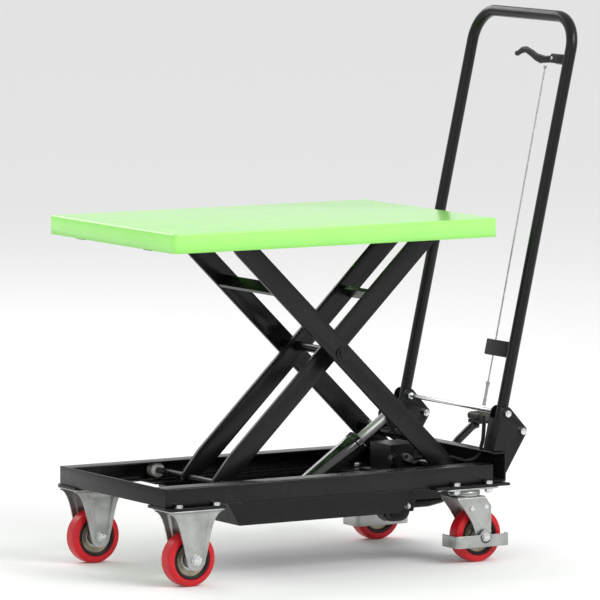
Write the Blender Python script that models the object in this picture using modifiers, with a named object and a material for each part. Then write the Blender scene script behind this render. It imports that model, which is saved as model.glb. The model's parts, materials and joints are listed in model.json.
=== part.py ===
"""Pedal-pumped scissor lift table on four casters: a single-scissor hand cart with a push handle.

+X runs from the front of the cart to its handle, +Y to the right-hand side of someone at the handle,
+Z up, and the floor is Z = 0. Dimensions are millimetres, scaled to metres as each shape is made.
X is measured from the front edge of the base, and the root empty moves the whole cart so that its
origin is the middle of its overall footprint.
"""

import math

import bmesh
import bpy
from mathutils import Matrix, Vector

MM = 0.001
GAP = 0.3  # clearance between neighbouring pieces
PAST = 5.0  # how far a cutter runs past the piece that it cuts
ORIGIN_X = 458.7  # front edge of the base to the middle of the overall length
SIDES = {"left": -1, "right": 1}

# Platform
DECK_LENGTH = 700.0
DECK_WIDTH = 450.0
DECK_DEPTH = 35.0
DECK_SHEET = 2.5
DECK_REAR_X = 696.0
DECK_FRONT_X = DECK_REAR_X - DECK_LENGTH
DECK_TOP_Z = 648.0
DECK_CORNER = 4.5
DECK_RAIL_Y = 136.0  # outer face of the web
DECK_RAIL_FLANGE = 30.0
DECK_RAIL_HEIGHT = 34.4
DECK_RAIL_SHEET = 2.7

# Scissor
ARM_LENGTH = 666.0
ARM_ANGLE = math.radians(43.98)
ARM_HALF_HEIGHT = 20.0
ARM_THICKNESS = 8.0
OUTER_ARM_Y = 94.0  # inner face
INNER_ARM_Y = 50.0
REAR_PIVOT = Vector((675.0, 0.0, 165.5))
ARM_COS = math.cos(ARM_ANGLE)
ARM_SIN = math.sin(ARM_ANGLE)
OUTER_ALONG = Vector((-ARM_COS, 0.0, ARM_SIN))
OUTER_ACROSS = Vector((ARM_SIN, 0.0, ARM_COS))
INNER_ALONG = Vector((ARM_COS, 0.0, ARM_SIN))
INNER_ACROSS = Vector((-ARM_SIN, 0.0, ARM_COS))
LOWER_ROLLER = REAR_PIVOT - Vector((ARM_LENGTH * ARM_COS, 0.0, 0.0))
UPPER_ROLLER = LOWER_ROLLER + Vector((0.0, 0.0, ARM_LENGTH * ARM_SIN))
UPPER_PIVOT = REAR_PIVOT + Vector((0.0, 0.0, ARM_LENGTH * ARM_SIN))
CENTRE = (REAR_PIVOT + UPPER_ROLLER) / 2
ROLLER_RADIUS = 14.0
ROLLER_WIDTH = 22.0
UPPER_ROLLER_Y = 119.0
LOWER_ROLLER_Y = 171.0
PIN_RADIUS = 6.0
CENTRE_PIN_RADIUS = 8.0

# Base frame
RAIL_FRONT_X = 3.3
RAIL_REAR_X = 714.0
RAIL_Y = 190.0  # outer face of the web
RAIL_FLANGE = 38.0
RAIL_LOW_Z = 148.0
RAIL_HEIGHT = 35.0
RAIL_SHEET = 3.0
REAR_BEAM_X = 743.0
REAR_BEAM_Z = 204.5
FOOT_REAR_X = 33.0  # the front crossmember's foot
FOOT_Y = 134.0
FOOT_SHEET = 2.4
PAN_LOW_Z = 94.0
PAN_RIM_Z = 146.0
PAN_RIM_X = (170.0, 594.0)
PAN_FLOOR_X = (201.0, 555.0)
PAN_FLANGE_X = (165.0, 575.0)
PAN_REAR_PLATE_X = 560.0
PAN_Y = 120.0
PAN_SHEET = 3.0
LUG_RADIUS = 15.0  # the pan's lugs, which hold the foot of the cylinder
LUG_Y = (24.0, 29.0)

# Fasteners
M8_RADIUS = 4.0
M8_ACROSS_FLATS = 13.0
M8_HEAD_HEIGHT = 6.0
AXLE_ACROSS_FLATS = 17.0

# Casters
WHEEL_RADIUS = 50.0
WHEEL_WIDTH = 32.0
WHEEL_Y = 171.0
FRONT_AXLE_X = 60.0
REAR_AXLE_X = 687.0
SWIVEL_X = 661.0
CASTER_PLATE_LOW_Z = 143.0
CASTER_PLATE_TOP_Z = RAIL_LOW_Z + 0.3
FRONT_PLATE_X = (-2.0, 118.0)
FRONT_PLATE_Y = (131.0, 207.0)
FRONT_PLATE_CORNER = 18.0
REAR_PLATE_X = 578.0
REAR_PLATE_Y = (125.0, 205.0)
CASTER_SHEET = 3.0  # the top plate of each caster
CASTER_HALF_WIDTH = 36.0
CROWN_Z = 126.0
CROWN_SHEET = 3.5
KINGPIN_RADIUS = 6.0
RIVETS_XZ = ((660.6, 103.7), (692.0, 106.3))
RIM_RADIUS = 37.0
BRAKE_X = (622.0, 740.0)
BRAKE_Z = (31.0, 54.0)
BRAKE_SHEET = 3.0
FORK_Y = 26.0  # inner face of a fork's side, from the wheel's middle plane
FORK_SHEET = 3.0
FRONT_BOLTS_X = (23.0, 102.0)
REAR_BOLTS_X = (626.0, 698.0)
BOLT_OFFSET_Y = 28.0
AXLE_RADIUS = 6.0
BRAKE_FACE = FORK_Y + FORK_SHEET + 8.0  # outer face of the brake's long arm, from the wheel's middle plane

# Hydraulics
RAM_PIN = REAR_PIVOT + 119.3 * OUTER_ALONG + 21.3 * OUTER_ACROSS
CRADLE = Vector((400.0, 0.0, 125.7))
RAM_ALONG = (RAM_PIN - CRADLE).normalized()
RAM_ROD_LENGTH = 160.0
RAM_RADIUS = 10.0
RAM_PIN_RADIUS = 5.0
BARREL_RADIUS = 20.0
BARREL_END = 163.0
LIFT_TUBE_ALONG = 95.0
LIFT_TUBE_RADIUS = 12.0
PUMP_LOW = Vector((606.0, -5.0, 112.0))
PUMP_HIGH = Vector((660.0, 65.0, 205.0))
PLUNGER = Vector((618.0, 10.0, 80.5))  # its lower end
PLUNGER_RADIUS = 6.0
PEDAL_PIVOT = Vector((640.0, 10.0, 88.0))
PEDAL_PIN_RADIUS = 5.0
PEDAL_TUBE_RADIUS = 8.0
PEDAL_SEAT = 6.5
PEDAL_BRACKET_Y = (-10.0, -7.0)
PAD_LOW = Vector((801.0, -15.0, 239.8))
PAD_HIGH = Vector((882.0, 35.0, 254.0))
VALVE_SPINDLE = Vector((636.0, -9.0, 182.0))
VALVE_SPINDLE_RADIUS = 4.0
VALVE_LEVER_Y = (-12.5, -6.0)

# Handle
HANDLE_HINGE = Vector((748.5, 0.0, 275.0))
HANDLE_LEAN = math.radians(12.45)
HANDLE_UP = Vector((math.sin(HANDLE_LEAN), 0.0, math.cos(HANDLE_LEAN)))
HANDLE_NORMAL = Vector((math.cos(HANDLE_LEAN), 0.0, -math.sin(HANDLE_LEAN)))
HANDLE_HEIGHT = 753.0
HANDLE_Y = 165.0
HANDLE_RADIUS = 10.8
HANDLE_BEND = 60.0
HANDLE_STUB = 30.0
HANDLE_ROD_RADIUS = 4.0
HANDLE_ROD_REACH = 190.0
BRACKET_BOLT = Vector((783.6, 0.0, 240.0))
BRACKET_CHEEKS_Y = (147.0, 180.0)  # inner face of each cheek
BRACKET_SHEET = 3.0
BRACKET_FRONT = (719.8, 732.3)  # x of the front edge at the foot and at the shoulder
BRACKET_SHOULDER_Z = 266.0
BRACKET_LOW_Z = 157.0
BRACKET_NUT_HEIGHT = 6.2
WEB_SHEET = 2.2
LEVER_PIVOT = (672.0, -122.0)  # distance up the handle from its hinge, and Y
CABLE_TOP = (656.0, -92.5)
CABLE_FOOT = (8.0, -104.0)
CABLE_HOLE = Vector((729.0, -127.0, REAR_BEAM_Z))
CONDUIT_RADIUS = 3.5
LEVER_PIN_RADIUS = 3.0
GUIDE_UP = 118.0
GUIDE_HEIGHT = 30.0
GUIDE_DEPTH = 10.0
GUIDE_FAR_Y = -79.0

COLOURS = {  # base colour, metallic, roughness
    "deck_green": ((0.28, 0.86, 0.20), 0.0, 0.30),
    "frame_black": ((0.018, 0.018, 0.020), 0.2, 0.35),
    "zinc": ((0.62, 0.63, 0.62), 1.0, 0.38),
    "bare_steel": ((0.55, 0.55, 0.56), 1.0, 0.30),
    "wheel_red": ((0.62, 0.012, 0.020), 0.0, 0.45),
    "hub_tan": ((0.50, 0.42, 0.28), 0.6, 0.45),
    "pump_black": ((0.030, 0.030, 0.032), 0.3, 0.50),
    "pad_rubber": ((0.030, 0.032, 0.022), 0.0, 0.70),
    "cable_sheath": ((0.015, 0.015, 0.015), 0.0, 0.60),
    "roller_nylon": ((0.55, 0.55, 0.52), 0.0, 0.50),
}


def clear_scene():
    for obj in list(bpy.data.objects):
        bpy.data.objects.remove(obj, do_unlink=True)


def new_collection(name):
    collection = bpy.data.collections.new(name)
    bpy.context.scene.collection.children.link(collection)
    return collection


def make_material(name):
    colour, metallic, roughness = COLOURS[name]
    material = bpy.data.materials.new(name)
    material.use_nodes = True
    shader = material.node_tree.nodes["Principled BSDF"]
    shader.inputs["Base Color"].default_value = (*colour, 1.0)
    shader.inputs["Metallic"].default_value = metallic
    shader.inputs["Roughness"].default_value = roughness
    return material


clear_scene()
PARTS = new_collection("scissor_lift_table")
CUTTERS = new_collection("cutters")
MATERIALS = {name: make_material(name) for name in COLOURS}


# ---- Shapes -------------------------------------------------------------------------------------


def new_object(name, mesh, material=None):
    obj = bpy.data.objects.new(name, mesh)
    PARTS.objects.link(obj)
    if material:
        mesh.materials.append(MATERIALS[material])
    return obj


def from_bmesh(name, bm, material):
    mesh = bpy.data.meshes.new(name)
    bm.to_mesh(mesh)
    bm.free()
    return new_object(name, mesh, material)


def box(name, low, high, material=None):
    low, high = Vector(low), Vector(high)
    bm = bmesh.new()
    place = Matrix.LocRotScale((low + high) / 2 * MM, None, (high - low) * MM)
    bmesh.ops.create_cube(bm, size=1.0, matrix=place)
    return from_bmesh(name, bm, material)


def rod(name, start, end, radius, segments=12, material=None):
    """A round or many-sided bar between two points."""
    start, end = Vector(start), Vector(end)
    bm = bmesh.new()
    turn = (end - start).to_track_quat("Z", "Y")
    place = Matrix.LocRotScale((start + end) / 2 * MM, turn, None)
    bmesh.ops.create_cone(
        bm, cap_ends=True, segments=segments, radius1=radius * MM, radius2=radius * MM,
        depth=(end - start).length * MM, matrix=place,
    )
    return from_bmesh(name, bm, material)


def hexagon(name, start, end, across_flats, material=None):
    return rod(name, start, end, across_flats / math.sqrt(3), 6, material)


def arc(centre, radius, start, end, steps):
    """Points of an arc, its angles in degrees."""
    angles = [math.radians(start + (end - start) * i / steps) for i in range(steps + 1)]
    return [(centre[0] + radius * math.cos(a), centre[1] + radius * math.sin(a)) for a in angles]


PLANES = {
    "XY": Matrix.Identity(4),
    "XZ": Matrix.Rotation(math.radians(90), 4, "X"),
    "YZ": Matrix(((0, 0, 1, 0), (1, 0, 0, 0), (0, 1, 0, 0), (0, 0, 0, 1))),
    "HANDLE": Matrix.Translation(HANDLE_HINGE * MM)
    @ Matrix((Vector((0, 1, 0)), HANDLE_UP, HANDLE_NORMAL)).transposed().to_4x4(),
}
PLANE_SIGN = {"XY": 1, "XZ": -1, "YZ": 1, "HANDLE": 1}


def meshed(name, curve, place, material):
    """The closed mesh of a curve, which is then removed."""
    source = bpy.data.objects.new(name + "_curve", curve)
    PARTS.objects.link(source)
    graph = bpy.context.evaluated_depsgraph_get()
    mesh = bpy.data.meshes.new_from_object(source.evaluated_get(graph))
    mesh.name = name
    bpy.data.objects.remove(source, do_unlink=True)
    bpy.data.curves.remove(curve)
    bm = bmesh.new()
    bm.from_mesh(mesh)
    bmesh.ops.remove_doubles(bm, verts=bm.verts, dist=1e-6)
    bmesh.ops.recalc_face_normals(bm, faces=bm.faces)
    bmesh.ops.transform(bm, matrix=place, verts=bm.verts)
    bm.to_mesh(mesh)
    bm.free()
    return new_object(name, mesh, material)


def plate(name, outline, low, high, plane="XZ", material=None):
    """A flat outline with thickness, between two distances along the normal of its plane."""
    curve = bpy.data.curves.new(name, "CURVE")
    curve.dimensions = "2D"
    curve.fill_mode = "BOTH"
    curve.extrude = abs(high - low) / 2 * MM
    spline = curve.splines.new("POLY")
    spline.points.add(len(outline) - 1)
    for point, (across, up) in zip(spline.points, outline):
        point.co = (across * MM, up * MM, 0.0, 1.0)
    spline.use_cyclic_u = True
    middle = PLANE_SIGN[plane] * (low + high) / 2 * MM
    return meshed(name, curve, PLANES[plane] @ Matrix.Translation((0, 0, middle)), material)


def filleted(points, radius, steps=4):
    """The route with each corner replaced by an arc."""
    points = [Vector(p) for p in points]
    route = [points[0]]
    for before, corner, after in zip(points, points[1:], points[2:]):
        back = (before - corner).normalized()
        onward = (after - corner).normalized()
        half = back.angle(onward) / 2
        reach = min(radius / math.tan(half), 0.48 * (before - corner).length, 0.48 * (after - corner).length)
        bend = reach * math.tan(half)
        middle = corner + (back + onward).normalized() * bend / math.sin(half)
        first = (corner + back * reach - middle).normalized()
        last = (corner + onward * reach - middle).normalized()
        route += [middle + bend * first.slerp(last, i / steps) for i in range(steps + 1)]
    route.append(points[-1])
    return route


def tube(name, route, radius, resolution=2, material=None):
    """A round bar along a route; it has four sides and two more for each step of resolution."""
    curve = bpy.data.curves.new(name, "CURVE")
    curve.dimensions = "3D"
    curve.bevel_depth = radius * MM
    curve.bevel_resolution = resolution
    curve.use_fill_caps = True
    spline = curve.splines.new("POLY")
    spline.points.add(len(route) - 1)
    for point, place in zip(spline.points, route):
        point.co = (*(Vector(place) * MM), 1.0)
    return meshed(name, curve, Matrix.Identity(4), material)


def turned(name, profile, centre, axis, steps=32, material=None):
    """A closed profile of (radius, height) points turned about an axis through centre."""
    pairs = zip(profile, profile[1:] + profile[:1])
    if sum(a[0] * b[1] - b[0] * a[1] for a, b in pairs) > 0:
        profile = profile[::-1]
    mesh = bpy.data.meshes.new(name)
    points = [(radius * MM, 0.0, height * MM) for radius, height in profile]
    edges = [(i, (i + 1) % len(points)) for i in range(len(points))]
    if profile[0][0] == 0 or profile[-1][0] == 0:
        on_axis = [i for i, point in enumerate(profile) if point[0] == 0]
        edges = [edge for edge in edges if not set(edge) <= set(on_axis)]
    mesh.from_pydata(points, edges, [])
    obj = new_object(name, mesh, material)
    turn = Vector(axis).to_track_quat("Z", "Y")
    obj.matrix_world = Matrix.LocRotScale(Vector(centre) * MM, turn, None)
    screw = obj.modifiers.new("turn", "SCREW")
    screw.axis = "Z"
    screw.steps = steps
    screw.render_steps = steps
    screw.use_merge_vertices = True
    screw.merge_threshold = 0.00001
    screw.use_smooth_shade = True
    return obj


def combine(target, operation, tools):
    for tool in tools:
        PARTS.objects.unlink(tool)
        CUTTERS.objects.link(tool)
        tool.hide_render = True
        tool.display_type = "WIRE"
        tool.parent = target
        tool.matrix_parent_inverse = target.matrix_world.inverted()
        modifier = target.modifiers.new(tool.name, "BOOLEAN")
        modifier.operation = operation
        modifier.solver = "EXACT"
        modifier.object = tool
    return target


def unite(target, *tools):
    bpy.context.view_layer.update()
    return combine(target, "UNION", tools)


def cut(target, *tools):
    bpy.context.view_layer.update()
    return combine(target, "DIFFERENCE", tools)


def hole(name, centre, radius, reach, direction="Y", segments=12):
    """A round cutter through centre, reach to either side of it."""
    offset = {"X": Vector((reach, 0, 0)), "Y": Vector((0, reach, 0)), "Z": Vector((0, 0, reach))}[direction]
    return rod(name, Vector(centre) - offset, Vector(centre) + offset, radius, segments)


def link_outline(first, first_radius, last, last_radius, steps=4):
    """The outline of a bar with round ends about two points."""
    heading = math.degrees(math.atan2(last[1] - first[1], last[0] - first[0]))
    outline = arc(first, first_radius, heading + 90, heading + 270, steps)
    return outline + arc(last, last_radius, heading - 90, heading + 90, steps)


def rounded_rectangle(low, high, radius, steps=4):
    (x0, y0), (x1, y1) = low, high
    corners = ((x1 - radius, y1 - radius, 0), (x0 + radius, y1 - radius, 90),
               (x0 + radius, y0 + radius, 180), (x1 - radius, y0 + radius, 270))
    return [p for x, y, a in corners for p in arc((x, y), radius, a, a + 90, steps)]


def span_y(side, inner, outer):
    """A low and a high Y for two distances out from the middle plane."""
    return sorted((side * inner, side * outer))


def handle_point(up, y, forward=0.0):
    """A point on the handle's plane, from its hinge; forward is measured along the plane's normal."""
    return HANDLE_HINGE + up * HANDLE_UP + forward * HANDLE_NORMAL + Vector((0.0, y, 0.0))


# ---- Base frame ---------------------------------------------------------------------------------


def caster_bolt(name, x, y):
    """A mounting bolt: its head lies on the base's caster plate and its shank ends in the caster's plate."""
    top = CASTER_PLATE_TOP_Z + GAP
    head = hexagon(name, (x, y, top), (x, y, top + M8_HEAD_HEIGHT), M8_ACROSS_FLATS)
    shank_low = CASTER_PLATE_LOW_Z - GAP - CASTER_SHEET / 2
    shank = rod(name + "_shank", (x, y, shank_low), (x, y, top + M8_HEAD_HEIGHT / 2), M8_RADIUS, 8)
    return [head, shank]


def make_base_rail(label, side):
    name = f"base_rail_{label}"
    top_z = RAIL_LOW_Z + RAIL_HEIGHT
    low_y, high_y = span_y(side, RAIL_Y - RAIL_FLANGE, RAIL_Y)
    rail = box(name, (RAIL_FRONT_X, low_y, RAIL_LOW_Z), (RAIL_REAR_X, high_y, top_z), "frame_black")
    low_y, high_y = span_y(side, RAIL_Y - RAIL_FLANGE - PAST, RAIL_Y - RAIL_SHEET)
    cut(rail, box(name + "_channel", (RAIL_FRONT_X - PAST, low_y, RAIL_LOW_Z + RAIL_SHEET),
                  (RAIL_REAR_X + PAST, high_y, top_z - RAIL_SHEET)))

    front_x, rear_x = FRONT_PLATE_X
    inner_y, outer_y = FRONT_PLATE_Y
    corner = (front_x + FRONT_PLATE_CORNER, outer_y - FRONT_PLATE_CORNER)
    front = [(rear_x, side * inner_y), (rear_x, side * outer_y)]
    front += [(x, side * y) for x, y in arc(corner, FRONT_PLATE_CORNER, 90, 180, 4)]
    front += [(front_x, side * inner_y)]
    low_y, high_y = span_y(side, *REAR_PLATE_Y)
    unite(rail, plate(name + "_front_caster_plate", front, CASTER_PLATE_LOW_Z, CASTER_PLATE_TOP_Z, "XY"),
          box(name + "_rear_caster_plate", (REAR_PLATE_X, low_y, CASTER_PLATE_LOW_Z),
              (REAR_BEAM_X, high_y, CASTER_PLATE_TOP_Z)))
    for x in FRONT_BOLTS_X + REAR_BOLTS_X:
        for offset in (-BOLT_OFFSET_Y, BOLT_OFFSET_Y):
            centre = (x, side * WHEEL_Y + offset, CASTER_PLATE_LOW_Z)
            label = f"{name}_bolt_hole_{x:.0f}_{offset:.0f}"
            cut(rail, hole(label, centre, M8_RADIUS + GAP, 2 * PAST, "Z", 10))
    cut(rail, hole(name + "_pivot_hole", REAR_PIVOT + Vector((0, side * RAIL_Y, 0)), PIN_RADIUS + GAP, 8.0))


def make_crossmembers():
    low_z = RAIL_LOW_Z + 2 * GAP
    front = box("front_crossmember", (0.0, -RAIL_Y, low_z), (RAIL_SHEET, RAIL_Y, RAIL_LOW_Z + RAIL_HEIGHT),
                "frame_black")
    foot_high = (FOOT_REAR_X, FOOT_Y, low_z + FOOT_SHEET)
    unite(front, box("front_crossmember_foot", (RAIL_SHEET / 3, -FOOT_Y, low_z), foot_high))

    low_z = CASTER_PLATE_TOP_Z + GAP + 0.2
    front_x = RAIL_REAR_X + GAP
    rear = box("rear_crossmember", (front_x, -RAIL_Y, low_z), (REAR_BEAM_X, RAIL_Y, REAR_BEAM_Z),
               "frame_black")
    cut(rear, box("rear_crossmember_channel", (front_x - PAST, -RAIL_Y - PAST, low_z + RAIL_SHEET),
                  (REAR_BEAM_X - RAIL_SHEET, RAIL_Y + PAST, REAR_BEAM_Z - RAIL_SHEET)))
    cut(rear, hole("rear_crossmember_cable_hole", CABLE_HOLE, CONDUIT_RADIUS + 1.5, 8.0, "Z", 16))


def pedal_bracket_outline():
    """A plate that hangs from the pan's rear plate, with an ear about the pedal's pivot."""
    x, z = PEDAL_PIVOT.x, PEDAL_PIVOT.z
    top_z, edge_z, rear_x = RAIL_LOW_Z - 1.0, z + 10.0, REAR_BEAM_X - 4.0 - RAIL_SHEET
    ear = [(x - 26.0, top_z), (x - 26.0, z + 6.0), (x - 15.0, z - 11.0), (x + 15.0, z - 11.0)]
    return ear + [(x + 21.0, edge_z), (rear_x, edge_z), (rear_x, RAIL_LOW_Z - 4.0), (RAIL_REAR_X - 1.0, RAIL_LOW_Z - 4.0),
            (RAIL_REAR_X - 1.0, top_z)]


def make_belly_pan():
    front_x, rear_x = PAN_RIM_X
    floor_front_x, floor_rear_x = PAN_FLOOR_X
    outside = [(front_x, PAN_RIM_Z), (floor_front_x, PAN_LOW_Z), (floor_rear_x, PAN_LOW_Z),
               (rear_x, PAN_RIM_Z)]
    floor_z, above = PAN_LOW_Z + PAN_SHEET, PAN_RIM_Z + PAST
    inside = [(front_x + 1.2 * PAN_SHEET, above), (floor_front_x + 0.6 * PAN_SHEET, floor_z),
              (floor_rear_x - 0.6 * PAN_SHEET, floor_z), (rear_x - 1.2 * PAN_SHEET, above)]
    pan = plate("belly_pan", outside, -PAN_Y, PAN_Y, "XZ", "frame_black")
    cut(pan, plate("belly_pan_hollow", inside, -PAN_Y + PAN_SHEET, PAN_Y - PAN_SHEET))

    flange_high_z = RAIL_LOW_Z - GAP
    flange_low_z = flange_high_z - 0.9 * PAN_SHEET
    for label, side in SIDES.items():
        low_y, high_y = span_y(side, PAN_Y - PAN_SHEET / 2, RAIL_Y - 2.0)
        unite(pan, box(f"belly_pan_flange_{label}", (PAN_FLANGE_X[0], low_y, flange_low_z),
                       (PAN_FLANGE_X[1], high_y, flange_high_z)))
        lug_z = PAN_LOW_Z + PAN_SHEET / 3
        lug = [(CRADLE.x + LUG_RADIUS, lug_z)] + arc((CRADLE.x, CRADLE.z), LUG_RADIUS, 0, 180, 8)
        lug += [(CRADLE.x - LUG_RADIUS, lug_z)]
        unite(pan, plate(f"belly_pan_cradle_{label}", lug, *span_y(side, *LUG_Y)))
    rear_y = PAN_Y - 0.5
    unite(pan, box("belly_pan_rear_plate", (PAN_REAR_PLATE_X, -rear_y, flange_high_z - PAN_SHEET),
                   (RAIL_REAR_X - GAP, rear_y, flange_high_z)))
    unite(pan, plate("belly_pan_pedal_bracket", pedal_bracket_outline(), *PEDAL_BRACKET_Y))
    margin = Vector((2 * GAP, 2 * GAP, 30.0))
    cut(pan, box("belly_pan_pump_opening", PUMP_LOW - margin, PUMP_HIGH + margin))


def make_handle_bracket(label, side):
    """A folded bracket: two cheeks, joined by a sloping front web, stand on the rear crossmember."""
    name = f"handle_bracket_{label}"
    foot_z, back_x = REAR_BEAM_Z + GAP, REAR_BEAM_X + GAP + 1.0
    front_low, front_high = BRACKET_FRONT
    outline = [(front_low, foot_z), (front_high, BRACKET_SHOULDER_Z)]
    outline += arc((HANDLE_HINGE.x, HANDLE_HINGE.z), 13.0, 168, 52, 4)
    outline += arc((BRACKET_BOLT.x, BRACKET_BOLT.z), 11.0, 52, -28, 3)
    outline += [(back_x, BRACKET_LOW_Z), (back_x, foot_z)]
    web = [(front_low, foot_z), (front_high, BRACKET_SHOULDER_Z),
           (front_high + WEB_SHEET, BRACKET_SHOULDER_Z), (front_low + WEB_SHEET, foot_z)]
    inner_y, outer_y = BRACKET_CHEEKS_Y
    bracket = plate(name, web, *span_y(side, inner_y, outer_y + BRACKET_SHEET), "XZ", "frame_black")
    for cheek, start in (("inner", inner_y), ("outer", outer_y)):
        unite(bracket, plate(f"{name}_{cheek}_cheek", outline, *span_y(side, start, start + BRACKET_SHEET)))
    middle = Vector((0.0, side * HANDLE_Y, 0.0))
    cut(bracket, hole(name + "_rod_hole", HANDLE_HINGE + middle, HANDLE_ROD_RADIUS + GAP, 30.0),
        hole(name + "_bolt_hole", BRACKET_BOLT + middle, M8_RADIUS + GAP, 30.0))

    bolt_name = f"bracket_bolt_{label}"
    ends = [BRACKET_BOLT + Vector((0, side * reach, 0)) for reach in (inner_y - 8.0, HANDLE_ROD_REACH)]
    shank = rod(bolt_name, *ends, M8_RADIUS, 16, "zinc")
    unite(shank, *bracket_nuts(bolt_name, BRACKET_BOLT, side))


def bracket_nuts(name, centre, side):
    """The two hexagons that lie against the inside and the outside of one handle bracket."""
    nuts = []
    inner_y, outer_y = BRACKET_CHEEKS_Y
    starts = {"inner": inner_y - GAP - BRACKET_NUT_HEIGHT, "outer": outer_y + BRACKET_SHEET + GAP}
    for place, start in starts.items():
        low = centre + Vector((0, side * start, 0))
        high = low + Vector((0, side * BRACKET_NUT_HEIGHT, 0))
        nuts.append(hexagon(f"{name}_{place}_nut_{side}", low, high, M8_ACROSS_FLATS))
    return nuts


def make_base_shafts():
    shaft = rod("rear_pivot_shaft", REAR_PIVOT - Vector((0, RAIL_Y, 0)), REAR_PIVOT + Vector((0, RAIL_Y, 0)),
                PIN_RADIUS, 16, "bare_steel")
    sleeve = Vector((0, OUTER_ARM_Y - GAP, 0))
    unite(shaft, rod("rear_pivot_shaft_sleeve", REAR_PIVOT - sleeve, REAR_PIVOT + sleeve, 10.0))
    reach = Vector((0, HANDLE_ROD_REACH, 0))
    bar = rod("handle_rod", HANDLE_HINGE - reach, HANDLE_HINGE + reach, HANDLE_ROD_RADIUS, 16, "zinc")
    for side in SIDES.values():
        unite(bar, *bracket_nuts("handle_rod", HANDLE_HINGE, side))


# ---- Pump, pedal and cable ----------------------------------------------------------------------


def make_pump():
    pump = box("pump_body", PUMP_LOW, PUMP_HIGH, "pump_black")
    housing_low, housing_high = 55.0, 118.0
    corner = 20.0
    housing = [(608.0, housing_high), (608.0, housing_low + corner)]
    housing += arc((628.0, housing_low + corner), corner, 180, 270, 5)
    housing += arc((648.0, housing_low + corner), corner, 270, 360, 5) + [(668.0, housing_high)]
    boss = Vector((614.0, PUMP_LOW.y, 178.0))
    flange_low, flange_high = (592.0, PUMP_LOW.y - 15.0, 148.0), (662.0, PUMP_HIGH.y + 15.0, 154.0)
    unite(pump, box("pump_body_flange", flange_low, flange_high),
          plate("pump_body_housing", housing, 22.0, 48.0),
          rod("pump_body_boss", boss + Vector((0, 3, 0)), boss - Vector((0, 10, 0)), 11.5, 16),
          hexagon("pump_body_plug", boss - Vector((0, 7, 0)), boss - Vector((0, 16, 0)), 17.0),
          rod("pump_body_spindle", VALVE_SPINDLE + Vector((0, 7, 0)), VALVE_SPINDLE - Vector((0, 5, 0)),
              VALVE_SPINDLE_RADIUS))
    pin = Vector((PEDAL_PIVOT.x, 0.0, PEDAL_PIVOT.z))
    unite(pump, rod("pump_body_pedal_pin", pin - Vector((0, 1, 0)), pin + Vector((0, 30, 0)),
                    PEDAL_PIN_RADIUS, 16),
          rod("pump_body_pedal_pin_head", pin - Vector((0, 2, 0)), pin + Vector((0, 2, 0)), 8.0))
    cut(pump, rod("pump_body_plunger_bore", PLUNGER + Vector((0, 0, 19.5)), PLUNGER + Vector((0, 0, 109.5)),
                  PLUNGER_RADIUS + 1.5))


def make_plunger():
    plunger = rod("pump_plunger", PLUNGER, PLUNGER + Vector((0, 0, 84.0)), PLUNGER_RADIUS, 16, "bare_steel")
    collar_top = 3.5
    collar = (PLUNGER + Vector((0, 0, 0.6)), PLUNGER + Vector((0, 0, collar_top)))
    unite(plunger, rod("pump_plunger_collar", *collar, 10.0, 16))
    turns, steps, coil_radius, wire_radius = 3, 10, 8.6, 1.3
    low = PLUNGER.z + collar_top + GAP + wire_radius
    high = PUMP_LOW.z - GAP - wire_radius
    coil = []
    for i in range(turns * steps + 1):
        angle = 2 * math.pi * i / steps
        height = low + (high - low) * i / (turns * steps)
        across, along = coil_radius * math.cos(angle), coil_radius * math.sin(angle)
        coil.append((PLUNGER.x + across, PLUNGER.y + along, height))
    tube("plunger_spring", coil, wire_radius, 1, "bare_steel")


def make_pedal():
    """A bent tube from the pump's pin to the rubber pad, and the toe that lifts the plunger."""
    y = PEDAL_PIVOT.y
    corners = [PEDAL_PIVOT, (700.0, y, 88.0), (742.0, y, 95.0), (757.0, y, 130.0), (759.0, y, 195.0),
               (802.0, y, 229.0), (812.0, y, 231.0)]
    arm = tube("pedal_arm", filleted(corners, 25.0, 3), PEDAL_TUBE_RADIUS, 3, "frame_black")
    left, right = PEDAL_PIVOT.x - 9.0, PEDAL_PIVOT.x + 9.5
    toe_z = PLUNGER.z - 8.5
    toe = [(left, PEDAL_PIVOT.z), (left, toe_z + 8.0)] + arc((PLUNGER.x, toe_z), 8.0, 90, 270, 6)
    toe += [(PEDAL_PIVOT.x, toe_z - 8.0), (right, toe_z), (right, PEDAL_PIVOT.z)]
    pivot = Vector((PEDAL_PIVOT.x, 0.0, PEDAL_PIVOT.z))
    seat_low = (PAD_LOW.x + 2.0, y - 18.0, PAD_LOW.z - GAP - PEDAL_SEAT)
    seat_high = (PAD_HIGH.x - 8.0, y + 18.0, PAD_LOW.z - GAP)
    unite(arm, rod("pedal_arm_eye", pivot + Vector((0, 3, 0)), pivot + Vector((0, 17, 0)), 9.5),
          plate("pedal_arm_toe", toe, y - 6.0, y + 6.0),
          box("pedal_arm_seat", seat_low, seat_high))
    cut(arm, hole("pedal_arm_pivot_hole", PEDAL_PIVOT, PEDAL_PIN_RADIUS + GAP, 15.0, "Y", 16))
    pad = box("pedal_pad", PAD_LOW, PAD_HIGH, "pad_rubber")
    bevel = pad.modifiers.new("rounded", "BEVEL")
    bevel.width = 4.0 * MM
    bevel.segments = 2
    bevel.limit_method = "NONE"


def make_cable_conduit():
    top = HANDLE_HINGE + Vector((-4.0, -112.0, -13.0))
    down = [(741.0, -118.0, 245.0), (735.0, -124.0, 220.0), CABLE_HOLE + Vector((0, 0, 3.5)),
            CABLE_HOLE + Vector((-2.0, 0, -6.5))]
    across = [(720.0, -126.0, 187.0), (705.0, -118.0, 180.0), (690.0, -90.0, 185.0), (668.0, -50.0, 185.0),
              (650.0, -18.0, 178.0)]
    tube("cable_conduit", filleted([top, *down, *across], 30.0, 2), CONDUIT_RADIUS, 2, "cable_sheath")


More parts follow.
